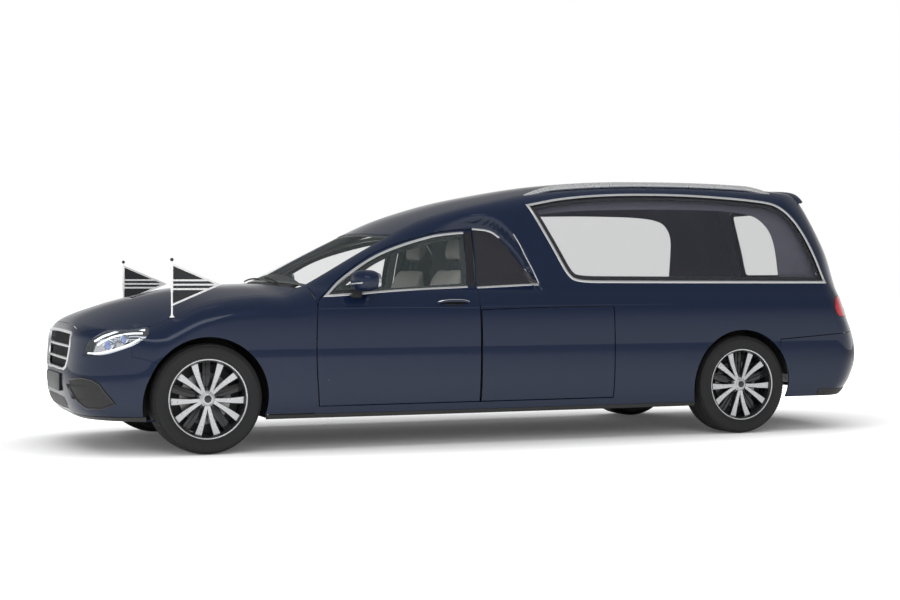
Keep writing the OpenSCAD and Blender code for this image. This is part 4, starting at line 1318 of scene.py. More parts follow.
def loop_of(*parts: np.ndarray) -> np.ndarray:
    """Joins open lines to a loop, without doubled points.

    Args:
        parts: the lines, end to start.

    Returns:
        The loop.
    """
    whole = np.vstack(parts)
    far = np.linalg.norm(whole - np.roll(whole, 1, axis=0), axis=1) > 3
    return whole[far]


def flip_y(points: np.ndarray) -> np.ndarray:
    """The mirror image of a line, run backwards."""
    return points[::-1] * np.array([1.0, -1.0, 1.0])


# ---- painted body ----------------------------------------------------------------------------


@dataclass
class PaintedBody:
    """The fixed and the moving outer panels."""

    skin: float = 13.0
    wall: float = 22.0
    lid: float = 18.0
    steer_room: float = 36.0
    gate: float = 18.0

    def side_loops(self) -> tuple[np.ndarray, list[np.ndarray]]:
        """Outline and openings of the left side panel.

        Returns:
            The outline, and a list of the openings.
        """
        gate_line = line(View.REAR, list(reversed(GATE_HALF[2:])))
        bumper_x = gate_line[-1][0] + 10
        outer = loop_of(
            line(View.SIDE, [(RA + 349, 202), (FA - 900, 202), (FA - 672, 204)]),
            line(View.SIDE, [(FA - 672, 204), (FA - 680, SILL)]),
            line(View.SIDE, [(DOOR_FRONT - 14, SILL), (HATCH_REAR, SILL)]),
            line(View.SIDE, [(HATCH_REAR, SILL), (HATCH_REAR, 886)]),
            line(View.SIDE, [(HATCH_REAR, 886), (FA - 2300, 882), (DOOR_REAR, 870)]),
            line(View.SIDE, [(DOOR_REAR, 900), (DOOR_REAR - 4, 1006), (DOOR_REAR - 30, 1394)]),
            line(View.SIDE, list(reversed(DOOR[6:15]))),
            line(View.SIDE, [(FA - 708, 940), (FA - 690, 905)]),
            line(View.SIDE, [(FA - 689, 905), (FA - 688, 960)]),
            line(View.TOP, [(FA - 672, 704), (FA - 977, 653), (FA - 1282, 592)]),
            line(View.TOP, ROOF_SIDE),
            gate_line,
            line(View.SIDE, [(bumper_x, 700), (RA - 300, 648)]),
            line(View.SIDE, [(RA - 300, 648), (RA - 301, 566)]),
            line(View.SIDE, arch_line(RA, -564, 202)),
        )
        lamp = loop_of(line(View.SIDE, LAMP_SIDE, 14), line(View.REAR, LAMP_REAR, 14))
        return outer, [outline(View.SIDE, LOAD_WINDOW), outline(View.SIDE, QUARTER_WINDOW), lamp]

    def build(self) -> None:
        """Makes every painted panel."""
        outer, holes = self.side_loops()
        place_pair(Panel(Chart.SIDE, outer, holes, thick=self.wall, inner_slot=1, spacing=15).shape(),
                   "side_panel_skin", "body", PAINT, LINING, stands_for="side_panel", slot="paint")
        place_pair(Panel(Chart.SIDE, self.fender_loop(), thick=self.skin).shape(), "fender_skin", "body",
                   PAINT,
                   stands_for="fender", slot="paint")
        roof = outline(View.TOP, both_sides([(FA - 1221, 0), (FA - 1226, 200), (FA - 1240, 400), *ROOF_SIDE],
                                            1))
        place(Panel(Chart.TOP, roof, thick=self.lid, inner_slot=1).shape(), "roof_skin", "body", PAINT,
              LINING,
              stands_for=["roof"], slot="paint")
        bonnet = outline(View.TOP, both_sides(BONNET_HALF, 1))
        place(Panel(Chart.TOP, bonnet, gap=SHUT / 2, thick=self.lid, inner_slot=1, spacing=24).shape(),
              "bonnet_skin", "bonnet", PAINT, STEEL, stands_for=["bonnet"], slot="paint")
        place_pair(Panel(Chart.SIDE, outline(View.SIDE, DOOR), [outline(View.SIDE, DOOR_WINDOW)], gap=SHUT,
                         thick=self.skin, inner_slot=1, spacing=22).shape(),
                   "front_door_skin", "front_door_", PAINT, TRIM, stands_for="front_door", slot="paint")
        place_pair(Panel(Chart.SIDE, outline(View.SIDE, HATCH), gap=SHUT, thick=self.skin,
                         inner_slot=1).shape(),
                   "side_hatch_skin", "side_hatch_", PAINT, TRIM, stands_for="side_hatch", slot="paint")
        place(self.gate_shape(), "tailgate_skin", "tailgate", PAINT, LINING, stands_for=["tailgate"],
              slot="paint")
        place(self.nose_shape(), "front_bumper_skin", "body", PAINT, SATIN, stands_for=["front_bumper"],
              slot="paint")
        place(self.tail_shape(), "rear_bumper_skin", "body", PAINT, SATIN, stands_for=["rear_bumper"],
              slot="paint")

    def fender_loop(self) -> np.ndarray:
        """Outline of the left front fender.

        Returns:
            The closed outline.
        """
        edge = [q for q in BONNET_HALF if FA - 620 < q[0] <= FA + 450 and q[1] > 600]
        return loop_of(
            line(View.SIDE, [(FA - 672, 232), (FA - 364, 232)]),
            line(View.SIDE, arch_line(FA, -232, 560)),
            line(View.SIDE, [(FA + 302, 561), (FA + 450, 602)]),
            line(View.SIDE, [(FA + 450, 602), *HEADLIGHT_BACK], 14),
            line(View.TOP, list(reversed(edge))),
            line(View.TOP, [(FA - 612, 690), (FA - 672, 704)]),
            line(View.SIDE, [(FA - 690, 900), (FA - 682, 800), (FA - 676, 620), (FA - 684, 440),
                             (FA - 700, SILL),
                             (FA - 672, 232)]),
        )

    def nose_shape(self) -> Shape:
        """The front bumper with the panel round the grille.

        Returns:
            The bumper on both sides.
        """
        edge = [q for q in BONNET_HALF if q[0] >= FA + 450]
        turn = np.linspace(0, 1.62, 30)
        bottom = skirt(NOSE_X, 207.0, np.stack([np.cos(turn), np.sin(turn)], 1))
        half = loop_of(
            bottom,
            line(View.SIDE, [(FA + (ARCH_R + self.steer_room * max(0.0, 0.4 - a)) * math.cos(a),
                              HUB + ARCH_R * math.sin(a)) for a in np.linspace(-0.352, 0.63, 14)]),
            line(View.SIDE, [(FA + 304, 562), (FA + 450, 602)]),
            line(View.SIDE, [(FA + 450, 602), *HEADLIGHT_FRONT], 14),
            line(View.TOP, edge),
        )
        outer = loop_of(half, flip_y(half))
        holes = [outline(View.FRONT, both_sides(GRILLE_HALF, 0), 16)]
        return Panel(Chart.NOSE, outer, holes, thick=self.skin, inner_slot=1, spacing=20).shape()

    def tail_shape(self) -> Shape:
        """The rear bumper.

        Returns:
            The bumper on both sides.
        """
        turn = np.linspace(math.pi / 2, -0.02, 30)
        bottom = skirt(CORNER_X, 241.0, np.stack([-np.sin(turn), np.cos(turn)], 1))
        top = line(View.REAR, [(612, 700), (560, 672), (0, 668)])
        half = loop_of(
            bottom[:-2],
            line(View.SIDE, [(RA - ARCH_R * math.cos(a), HUB + ARCH_R * math.sin(a))
                             for a in np.linspace(-0.262, 0.645, 14)]),
            line(View.SIDE, [(RA - 302, 566), (RA - 303, 644)]),
            line(View.SIDE, [(RA - 303, 644), (float(top[0][0]) + 6, 698)]),
            top,
        )
        outer = loop_of(half, flip_y(half))
        return Panel(Chart.TAIL, outer, thick=self.skin, inner_slot=1, spacing=24).shape()

    def gate_shape(self) -> Shape:
        """The tailgate.

        Returns:
            The panel with its opening.
        """
        half = loop_of(line(View.REAR, GATE_HALF), line(View.TOP, [(GATE_EDGE, 556), (GATE_EDGE, 0)]))
        outer = loop_of(half, flip_y(half))
        hole = outline(View.REAR, both_sides(GATE_WINDOW_HALF, 0))
        return Panel(Chart.GATE, outer, [hole], gap=SHUT / 2, thick=self.gate, inner_slot=1,
                     spacing=24).shape()


# ---- glass and trim --------------------------------------------------------------------------


@dataclass
class Glazing:
    """Panes, their dark borders and the bright strips round them."""

    drop: float = 4.0
    pane: float = 5.0
    strip_width: float = 18.0
    strip_height: float = 5.0
    border: float = 34.0

    def build(self) -> None:
        """Makes every window."""
        self._pane_pair(LOAD_WINDOW, "load_glass", "body", TINT, "side_windows")
        self._pane_pair(QUARTER_WINDOW, "quarter_glass", "body", SMOKE, "")
        self._pane_pair(DOOR_WINDOW, "door_pane", "front_door_", CLEAR, "door_glass")
        screen = outline(View.TOP, both_sides(WINDSCREEN_HALF, 1))
        place(Panel(Chart.TOP, screen, sink=self.drop, thick=self.pane, edge=1, spacing=40).shape(),
              "windscreen_pane", "body", CLEAR, stands_for=["windscreen"], slot="glass")
        place(self._border(screen, 30), "windscreen_border", "body", GLOSS, slot="black")
        back = outline(View.REAR, both_sides(GATE_WINDOW_HALF, 0))
        place(Panel(Chart.GATE, back, sink=self.drop, thick=self.pane, edge=1, spacing=40).shape(),
              "tailgate_pane", "tailgate", TINT, stands_for=["tailgate_glass"], slot="glass")
        place(self._border(back, 36), "tailgate_border", "tailgate", GLOSS, slot="black")
        self._strips()

    def _pane_pair(self, points: Sequence[Sequence[float]], name: str, body: str, finish: Finish,
                   node: str) -> None:
        """One window on both sides, with its border.

        Args:
            points: the opening in side view.
            name: the panes' name.
            body: the body or its start.
            finish: the glass.
            node: the CAD node that the panes replace, or its start.
        """
        rim = outline(View.SIDE, points)
        shape = Panel(Chart.SIDE, rim, sink=self.drop, thick=self.pane, edge=1, spacing=40).shape()
        if node == "side_windows":
            pair = place_pair(shape, name, body, finish, slot="glass")
            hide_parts(node)
        else:
            place_pair(shape, name, body, finish, stands_for=node, slot="glass")
        place_pair(self._border(rim, self.border), name + "_border", body, GLOSS, slot="black")

    def _border(self, rim: np.ndarray, width: float) -> Shape:
        """A dark band inside the edge of a pane.

        Args:
            rim: the pane's edge.
            width: the band's width.

        Returns:
            The band.
        """
        seat = -(self.drop + self.pane)
        return strip(turned_out(rim), [(-width, seat - 2.2), (-1, seat - 2.2), (-1, seat - 0.2),
                                       (-width, seat - 0.2)])

    def _strips(self) -> None:
        """Bright strips, the black pillar cover and the seals."""
        w, h = self.strip_width, self.strip_height
        section = [(x + w / 2 - 3, z) for x, z in round_bar(w, h)]
        seal = [(-7, -4), (0, -4), (0, 1.0), (-7, 0.4)]
        load = turned_out(outline(View.SIDE, LOAD_WINDOW))
        place_pair(strip(load, section), "load_strip", "body", CHROME, slot="chrome")
        place_pair(strip(load, seal), "load_seal", "body", SATIN, slot="black")
        door = line(View.SIDE, [DOOR_WINDOW[0], DOOR_WINDOW[1], DOOR_WINDOW[2]], 20)
        top = line(View.SIDE, DOOR_WINDOW[2:], 20)
        whole = np.vstack([door[:-1], top])
        narrow = [(x + w * 0.42, z) for x, z in round_bar(w * 0.95, h)]
        flip = [(-x, z) for x, z in reversed(narrow)]
        place_pair(strip(whole, narrow if self._is_out(whole) else flip, closed=False), "door_strip",
                   "front_door_",
                   CHROME, slot="chrome")
        pillar = [(FA - 1729, 1020), (DOOR_REAR + 8, 1017), (DOOR_REAR - 24, 1376), (FA - 1757, 1361)]
        place_pair(Panel(Chart.SIDE, outline(View.SIDE, pillar), sink=-2.2, thick=4, edge=1,
                         spacing=30).shape(),
                   "door_pillar_cover", "front_door_", GLOSS, slot="black")
        quarter = line(View.SIDE, [*reversed(QUARTER_WINDOW[2:]), ], 20)
        belt = line(View.SIDE, [QUARTER_WINDOW[0], (DOOR_REAR - 5, 1014)], 20)
        arc = line(View.SIDE, [(DOOR_REAR - 34, 1389), *QUARTER_WINDOW[3:6]], 20)
        for name, path in (("quarter_arc_strip", arc), ("quarter_belt_strip", belt)):
            use = narrow if self._is_out(path, quarter.mean(axis=0)) else flip
            place_pair(strip(path, use, closed=False), name, "body", CHROME, slot="chrome")

        crest = line(View.SIDE, [QUARTER_WINDOW[0], (FA - 2190, 1120), (FA - 2150, 1205), (FA - 2105, 1300),
                                 (FA - 2070, 1361)], 16)
        thin = [(x, z) for x, z in round_bar(w * 0.4, h * 0.8)]
        place_pair(strip(crest, thin, closed=False), "quarter_crest_strip", "body", CHROME, slot="chrome")

    @staticmethod
    def _is_out(path: np.ndarray, middle: Optional[np.ndarray] = None) -> bool:
        """Whether an open line's across direction points away from its middle.

        Args:
            path: the open line.
            middle: the middle of what it borders, or its own.

        Returns:
            True when it points away.
        """
        normal = BODY.normal(path)
        centre = path.mean(axis=0) if middle is None else middle
        return float(np.sum(frame_of(path, normal, False) * (path - centre))) > 0


# ---- lamps and grille --------------------------------------------------------------------------


@dataclass
class Lamps:
    """Head and tail lamps."""

    depth: float = 60.0
    projector: float = 34.0

    def build(self) -> None:
        """Makes the lamps."""
        whole = loop_of(line(View.SIDE, HEADLIGHT_BACK, 12),
                        line(View.SIDE, list(reversed(HEADLIGHT_FRONT)), 12))
        lens = Panel(Chart.NOSE, whole, gap=1.5, thick=4, edge=1.4, spacing=20).shape()
        pair = place_pair(lens, "headlight_lens", "body", LENS, slot="lamp")
        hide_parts("headlights")
        bowl = Panel(Chart.NOSE, whole, gap=3, sink=self.depth - 16, thick=6, edge=1.4, spacing=20).shape()
        place_pair(bowl, "headlight_bowl", "body", MIRROR, slot="chrome")
        self._lights()
        lamp = loop_of(line(View.SIDE, LAMP_SIDE, 12), line(View.REAR, LAMP_REAR, 12))
        red = Panel(Chart.TAIL, lamp, gap=1.5, thick=22, edge=3, spacing=14, sink=-3).shape()
        pair = place_pair(red, "tail_lamp_lens", "body", RED, slot="red_lamp")
        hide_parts("tail_lamps")
        # Painted highlight: a white streak laid over the red lens at the corner, where the lens catches a
        # glint of light.
        painted_glint_line = line(View.SIDE, [(RA - 878, 866), (RA - 925, 852), (RA - 960, 838)], 10)
        place_pair(strip(painted_glint_line, [(-13, 1), (13, 1), (9, 6), (-9, 6)], closed=False), "tail_lamp_painted_glint",
                   "body",
                   GLINT_WHITE, slot="white")

    def _lights(self) -> None:
        """Projectors with bezels, and the light strips over and under them."""
        spots = project(View.SIDE, np.array([(FA + 590, 668), (FA + 500, 712)], float))
        normal = BODY.normal(spots)
        for number, (spot, n) in enumerate(zip(spots, normal)):
            way = unit((n * np.array([0.6, 1, 0]) + np.array([1.2, 0, 0.0]))[None])[0]
            size = self.projector * (1 - 0.2 * number)
            lens = lathe([(0, 16), (size * 0.35, 15), (size * 0.62, 11), (size * 0.8, 4), (size * 0.8, -14),
                          (0, -14)], 32)
            ring = lathe([(size * 0.82, 2), (size, 6), (size * 1.12, 0), (size * 1.12, -18),
                          (size * 0.82, -18)], 40,
                         closed=True)
            turn = Vector((0, 1, 0)).rotation_difference(Vector(way)).to_matrix().to_4x4()
            turn.translation = Vector((spot - n * 30) * MM)
            place_pair(lens.turned(turn), f"projector_{number + 1}", "body", BLUE_LENS, slot="lamp")
            place_pair(ring.turned(turn), f"projector_ring_{number + 1}", "body", MIRROR, slot="chrome")
        for name, points, width in (
                ("light_strip_upper", [(FA + 655, 690), (FA + 600, 730), (FA + 520, 762), (FA + 430, 777),
                                       (FA + 362, 770)], 5),
                ("light_strip_middle", [(FA + 640, 668), (FA + 560, 722), (FA + 470, 748), (FA + 380, 752)],
                 4),
                ("light_strip_lower", [(FA + 690, 618), (FA + 640, 618), (FA + 570, 636), (FA + 480, 668),
                                       (FA + 405, 712)], 5)):
            path = line(View.SIDE, points, 10)
            path = path - BODY.normal(path) * 14
            normal = BODY.normal(path)
            shape = sweep(path, frame_of(path, normal, False), normal,
                          [(-width, -6), (width, -6), (width, 2), (-width, 2)])
            place_pair(shape, name, "body", LED, slot="lamp")


@dataclass
class Grille:
    """Bright frame, louvres and the mesh behind."""

    louvres: int = 2

    def build(self, repeat: Repeater) -> None:
        """Makes the grille.

        Args:
            repeat: the copier.
        """
        rim = outline(View.FRONT, both_sides(GRILLE_HALF, 0), 14)
        rim = turned_out(rim)
        frame_strip = strip(rim, [(-16, -12), (3, -12), (3, 2), (-2, 7), (-12, 6), (-16, 0)])
        place(frame_strip, "grille_frame", "body", CHROME, stands_for=["grille"], slot="chrome")
        back = Panel(Chart.NOSE, rim, sink=38, thick=4, edge=1, spacing=30).shape()
        place(back, "grille_back", "body", SATIN, slot="black")
        bars = []
        for number in range(self.louvres):
            height = 574 + 78 * number
            reach = 430 + 18 * number
            across = line(View.FRONT, [(-reach, height), (-200, height), (200, height), (reach, height)], 24)
            normal = BODY.normal(across)
            side = np.tile(UP, (len(across), 1))
            bars.append(sweep(across - normal * 14, side, normal,
                              [(-11, -14), (10, -16), (7, 4), (0, 9), (-7, 5)]))
        place(bars[0].plus(*bars[1:]), "grille_louvres", "body", CHROME, slot="chrome")
        slat = block((-3, -2.5, -112), (3, 2.5, 112), 1, 1)
        posts = repeat.copies(slat, 37, MESH, start=(FA + 752, -396, 626), step=(0, 22, 0))
        p = posts.points / MM
        posts.points[:, 0] = (nose_hit(p)[:, 0] - 28 + (p[:, 0] - FA - 752)) * MM
        place(posts, "grille_mesh", "body", MESH, slot="black")


# ---- wheels ----------------------------------------------------------------------------------


@dataclass
class Wheels:
    """Tyres, rims, hub caps, bolts, brake discs and the shields behind them."""

    rim_r: float = 246.0
    pairs: int = 5
    spread: float = 15.5
    face: float = 100.0

    def build(self, repeat: Repeater) -> None:
        """Makes the four wheels.

        Args:
            repeat: the copier.
        """
        parts = {
            "tyre": (self._tyre(repeat), RUBBER, "tyre"),
            "rim": (self._barrel(), GLOSS, "rim"),
            "rim_lip": (self._lip(), SILVER, "rim"),
            "spokes": (self._spokes(repeat, False), SILVER, "rim"),
            "spoke_backs": (self._spokes(repeat, True), GLOSS, "rim"),
            "pocket_ribs": (self._ribs(repeat), GLOSS, "rim"),
            "hub_cap": (self._cap(), SILVER, "chrome"),
            "hub_badge": (self._badge(), GLOSS, "black"),
            "dust_shield_and_shade": (self._shield(), SATIN, "cast"),
            "wheel_bolts": (self._bolts(repeat), STEEL, "steel"),
            "brake_disc": (self._disc(), DISC, "cast"),
        }
        for end, x in (("front", FA), ("rear", RA)):
            for side, way in (("left", 1), ("right", -1)):
                for name, (shape, finish, slot) in parts.items():
                    here = shape if way > 0 else shape.mirrored()
                    here = here.moved((x * MM, way * WHEEL_Y * MM, HUB * MM))
                    nodes = {"tyre": [f"tyre_{end}_{side}"], "spokes": [f"wheel_{end}_{side}"]}.get(name, [])
                    place(here, f"{name}_{end}_{side}", f"wheel_{end}_{side}", finish, stands_for=nodes,
                          slot=slot)

    def _tyre(self, repeat: Repeater) -> Shape:
        """Carcass with grooves, and shoulder blocks.

        Args:
            repeat: the copier.

        Returns:
            The tyre about its own middle.
        """
        r, w = TYRE_R, TYRE_W / 2
        half = [(self.rim_r - 14, w - 22), (self.rim_r - 2, w - 8), (self.rim_r + 4, w - 5),
                (self.rim_r + 9, w - 6),
                (self.rim_r + 12, w - 3.5), (self.rim_r + 22, w - 0.8), (self.rim_r + 40, w),
                (self.rim_r + 56, w - 1),
                (self.rim_r + 60, w - 0.4), (self.rim_r + 66, w - 3.5), (r - 15, w - 11), (r - 7, w - 17),
                (r - 6.5, w - 30), (r - 1.6, w - 31), (r - 1.4, w - 38), (r - 7, w - 39), (r - 7, w - 46),
                (r - 0.6, w - 47), (r - 0.3, w - 76), (r - 7, w - 77), (r - 7, w - 86), (r - 0.1, w - 87),
                (r, w - 112)]
        profile = half + [(p, -y) for p, y in reversed(half)]
        inner = [(self.rim_r - 14, -w + 22), (self.rim_r - 14, w - 22)]
        carcass = lathe(profile + inner[:1], 120, closed=True)
        tread = block((r - 9, w - 30.5, -7.2), (r - 1.8, w - 9, 7.2), 1.4, 1)
        top = np.array(tread.points)
        outer = top[:, 1] > (w - 18) * MM
        top[outer, 0] -= 5.5 * MM
        tread = Shape(top, tread.faces)
        count = 124
        blocks = repeat.copies(tread, count, RUBBER, turn=2 * math.pi / count)
        return carcass.plus(blocks, blocks.mirrored())

    def _barrel(self) -> Shape:
        """The rim's well.

        Returns:
            The closed ring.
        """
        r, w = self.rim_r - 1, TYRE_W / 2
        return lathe([(r - 4, w - 10), (r - 14, w - 12), (r - 22, w - 26), (r - 26, w - 60),
                      (r - 30, -w + 40),
                      (r - 14, -w + 20), (r - 12, -w + 24), (r - 26, -w + 44), (r - 18.5, w - 60),
                      (r - 17, w - 24)],
                     96, closed=True)

    def _lip(self) -> Shape:
        """The machined outer lip.

        Returns:
            The closed ring.
        """
        r, w = self.rim_r, TYRE_W / 2
        return lathe([(r - 13, w - 15), (r - 9, w - 10.5), (r - 3, w - 8.6), (r + 1, w - 9.5),
                      (r + 1, w - 14),
                      (r - 12, w - 20)], 120, closed=True)

    def _spokes(self, repeat: Repeater, back: bool) -> Shape:
        """Paired spokes; the face is machined and the body behind it is black.

        Args:
            repeat: the copier.
            back: whether to make the body behind the face.

        Returns:
            All spokes.
        """
        stations = np.linspace(0, 1, 9)
        r0, r1 = 44.0, self.rim_r - 8
        parts = []
        for way in (-1, 1):
            rows = []
            for t in stations:
                r = r0 + (r1 - r0) * t
                lean = math.radians(way * (9.0 + 6.5 * t ** 0.8))
                wide = 9.5 + 12 * t ** 1.35
                top = self.face - 10 - 7 * math.sin(math.pi * t) + 5 * t
                low = top - (34 if back else 2.4)
                if back:
                    wide, top = wide + 3.5, top - 2.0
                radial = np.array([math.cos(lean), 0, math.sin(lean)])
                tangent = np.array([-math.sin(lean), 0, math.cos(lean)])
                up = np.array([0.0, 1.0, 0.0])
                rows.append([radial * r + tangent * -wide + up * low, radial * r + tangent * -wide + up * top,
                             radial * r + tangent * wide + up * top, radial * r + tangent * wide + up * low])
            parts.append(loft([np.array(row) for row in rows]))
        finish = GLOSS if back else SILVER
        turned = parts[0].plus(parts[1]).turned(Matrix.Rotation(math.radians(-90 + 36), 4, "Y"))
        return repeat.copies(turned, self.pairs, finish, turn=2 * math.pi / self.pairs)

    def _ribs(self, repeat: Repeater) -> Shape:
        """Dark ribs in the wide pockets and the notches near the rim.

        Args:
            repeat: the copier.

        Returns:
            All ribs.
        """
        rib = block((70, self.face - 44, -5), (self.rim_r - 22, self.face - 28, 5), 3, 2)
        web = block((52, self.face - 50, -26), (self.rim_r - 22, self.face - 38, 26), 5, 2)
        turned = rib.plus(web).turned(Matrix.Rotation(math.radians(-90), 4, "Y"))
        return repeat.copies(turned, self.pairs, GLOSS, turn=2 * math.pi / self.pairs)

    def _cap(self) -> Shape:
        """Hub and its plain cap.

        Returns:
            The cap.
        """
        f = self.face
        return lathe([(0, f + 2), (14, f + 1.6), (26, f + 0.4), (30, f - 2), (33, f - 2.5), (35, f - 8),
                      (46, f - 14),
                      (52, f - 22), (52, f - 60), (0, f - 60)], 48)

    def _badge(self) -> Shape:
        """A plain dark disc in the cap."""
        f = self.face
        return lathe([(0, f + 5.2), (14, f + 4.8), (22, f + 3.2), (23, f), (0, f)], 40)

    def _shield(self) -> Shape:
        """The shield behind the brake disc, which closes the view through the wheel: partly a real dust
        shield, partly painted shade, its black standing for the dark inside the wheel.
        """
        f = self.face
        return lathe([(0, f - 100), (214, f - 100), (216, f - 103), (214, f - 106), (0, f - 106)], 72)

    def _bolts(self, repeat: Repeater) -> Shape:
        """Five wheel bolts in their pockets.

        Args:
            repeat: the copier.

        Returns:
            All bolts.
        """
        bolt = lathe([(0, self.face - 20), (7, self.face - 20), (9, self.face - 22), (9, self.face - 48),
                      (0, self.face - 48)], 6)
        bolt = bolt.turned(Matrix.Translation((0, 0, 0.060)))
        return repeat.copies(bolt, self.pairs, STEEL, turn=2 * math.pi / self.pairs)

    def _disc(self) -> Shape:
        """The brake disc with its bell.

        Returns:
            The disc.
        """
        f = self.face
        return lathe([(0, f - 62), (80, f - 62), (84, f - 70), (84, f - 80), (159, f - 80), (160, f - 82),
                      (160, f - 92),
                      (159, f - 94), (0, f - 94)], 72)


# ---- fittings --------------------------------------------------------------------------------


def outward(shape: Shape) -> Shape:
    """The shape with its faces pointing outwards.

    Args:
        shape: a closed shape.

    Returns:
        The same shape, or one with every face reversed.
    """
    if volume(shape) > 0:
        return shape
    return Shape(shape.points, [tuple(reversed(f)) for f in shape.faces], uv=shape.uv)


def loft(rows: Sequence[np.ndarray]) -> Shape:
    """Joins closed rings of equal length, in millimetres, and closes both ends.

    Args:
        rows: the rings, in order.

    Returns:
        The closed shape.
    """
    m = len(rows[0])
    points = np.vstack(rows)
    faces = []
    for i in range(len(rows) - 1):
        faces += [(m * i + j, m * i + (j + 1) % m, m * i + m + (j + 1) % m, m * i + m + j) for j in range(m)]
    faces += [tuple(reversed(range(m))), tuple(m * (len(rows) - 1) + j for j in range(m))]
    return outward(Shape(points * MM, faces))


def oval(centre: Sequence[float], wide: Sequence[float], high: Sequence[float], power: float = 2.6,
         steps: int = 28) -> np.ndarray:
    """A rounded ring.

    Args:
        centre: its middle.
        wide: from the middle to one side.
        high: from the middle to the top.
        power: 2 is an ellipse, more is squarer.
        steps: how many points.

    Returns:
        The ring's points.
    """
    a = np.linspace(0, 2 * math.pi, steps, endpoint=False)
    c, s = np.cos(a), np.sin(a)
    u = np.sign(c) * np.abs(c) ** (2 / power)
    v = np.sign(s) * np.abs(s) ** (2 / power)
    return np.asarray(centre, float) + u[:, None] * np.asarray(wide, float) + v[:, None] * np.asarray(high,
        float)


@dataclass
class Fittings:
    """Mirrors, handles, rails, plates, staffs, intakes, sills and wipers."""

    mirror_x: float = FA - 978
    mirror_z: float = 1054.0
    rail_y: float = 588.0
    rail_height: float = 34.0
    staff_drop: float = 85.0

    def build(self, repeat: Repeater) -> None:
        """Makes all fittings.

        Args:
            repeat: the copier.
        """
        self._mirrors()
        self._handles()
        self._rails()
        self._plates()
        self._staffs()
        self._intakes(repeat)
        self._lower_trims()
        self._body_lines()
        self._wipers()

    def _mirrors(self) -> None:
        """Door mirrors: a rounded housing on a foot, with its glass and a bright strip."""
        x, y, z = self.mirror_x + 10, HALF + 26, self.mirror_z
        rows = []
        for t in np.linspace(0, 1, 13):
            swell = math.sqrt(max(1 - (2 * t - 1) ** 2 * 0.93, 0))
            across = y - 92 + 202 * t
            back = x - 26 * t
            rows.append(oval((back, across, z - 4 + 8 * t), (84 * swell, 0, 0), (0, 0, 68 * swell), 2.9))
        housing = loft(rows)
        place_pair(housing, "mirror_housing", "front_door_", PAINT, stands_for="door_mirror", slot="paint")
        glass = loft([oval((x - 94, y + 12, z), (0, 72, 0), (0, 0, 48), 3.2),
                      oval((x - 74, y + 12, z), (0, 78, 0), (0, 0, 54), 3.2)])
        place_pair(glass, "mirror_glass", "front_door_", MIRROR, slot="chrome")
        foot_at = project(View.SIDE, np.array([(FA - 950, 956.0)]))[0]
        foot = loft([oval(foot_at + (0, -4, -4), (42, 0, 0), (0, 0, 12)),
                     oval(foot_at + (4, 22, 6), (36, 0, 0), (0, 0, 11)),
                     oval((x + 8, y - 62, z - 42), (32, 0, 0), (0, 0, 14)),
                     oval((x + 8, y - 40, z - 30), (30, 0, 0), (0, 0, 16))])
        place_pair(foot, "mirror_foot", "front_door_", SATIN, slot="black")
        front = tube([(x + 74, y - 46, z - 22), (x + 72, y, z - 20), (x + 58, y + 60, z - 16),
                      (x + 30, y + 92, z - 12)], 5)
        place_pair(front, "mirror_strip", "front_door_", CHROME, slot="chrome")

    def _handles(self) -> None:
        """Pull handles, each with a black patch of painted shade where its recess is."""
        path = line(View.SIDE, [(FA - 1708, 917), (FA - 1640, 920), (FA - 1560, 920), (FA - 1490, 915)], 9)
        normal = BODY.normal(path)
        t = np.linspace(-1, 1, len(path))
        lift = (26 * (1 - np.abs(t) ** 4) + 3)[:, None]
        side = frame_of(path, normal, False)
        bar = sweep(path + normal * lift * 0.8, side, normal, [(x * 12, y * 7) for x, y in circle(1, 12)],
                    grow=0.75 + 0.35 * (1 - t ** 2))
        place_pair(bar, "door_handle", "front_door_", PAINT, slot="paint")
        line_strip = sweep(path + normal * (lift * 0.8 + 6.6), side, normal,
                           [(-2.5, -2), (2.5, -2), (2, 1.4), (-2, 1.4)])
        place_pair(line_strip, "door_handle_strip", "front_door_", CHROME, slot="chrome")
        # Painted shade: the door has no hollow here; a black patch set just proud of the surface stands for
        # the shade inside the recess.
        hollow = [(FA - 1675, 905), (FA - 1560, 898), (FA - 1520, 912), (FA - 1545, 936), (FA - 1640, 940),
                  (FA - 1680, 925)]
        recess_shade_patch = Panel(Chart.SIDE, outline(View.SIDE, hollow, 10, corner=90), sink=-0.6, thick=3, edge=1,
                    spacing=14).shape()
        place_pair(recess_shade_patch, "door_handle_recess_painted_shade", "front_door_", GLOSS, slot="black")

    def _rails(self) -> None:
        """Roof rails."""
        xs = np.linspace(RA - 430, FA - 2215, 90)
        path = project(View.TOP, np.stack([xs, np.full(90, self.rail_y)], 1))
        u = np.linspace(-1, 1, 90)
        path[:, 2] += (self.rail_height + 6) * np.minimum(1, (1 - u ** 8) * 1.15) - 5
        side = np.tile([0.0, 1.0, 0.0], (90, 1))
        section = [(x * 12, y * 18 - 16) for x, y in circle(1, 16)]
        rail = sweep(path, side, np.tile(UP, (90, 1)), section)
        place(rail.plus(rail.mirrored()), "roof_rail_bars", "body", SILVER, stands_for=["roof_rails"],
              slot="silver")

    def _plates(self) -> None:
        """Blank plates in their holders."""
        low, high = node_box("number_plates")
        for name, x0, x1, z0, z1 in (("front", high[0] - 12, high[0], 366, 478),
                                     ("rear", low[0], low[0] + 12, 500, 612)):
            face = x1 if name == "front" else x0
            board = block((min(face, face - 2.5 if name == "front" else face + 2.5), -256, z0 + 4),
                          (max(face, face - 2.5 if name == "front" else face + 2.5), 256, z1 - 4), 1.2, 2)
            inner = (x0, x1 - 2.6) if name == "front" else (x0 + 2.6, x1)
            holder = block((inner[0], -260, z0), (inner[1], 260, z1), 3, 2)
            nodes = ["number_plates"] if name == "front" else []
            place(board, f"plate_{name}", "body", PLATE, stands_for=nodes, slot="white")
            place(holder, f"plate_holder_{name}", "body", SATIN, slot="black")

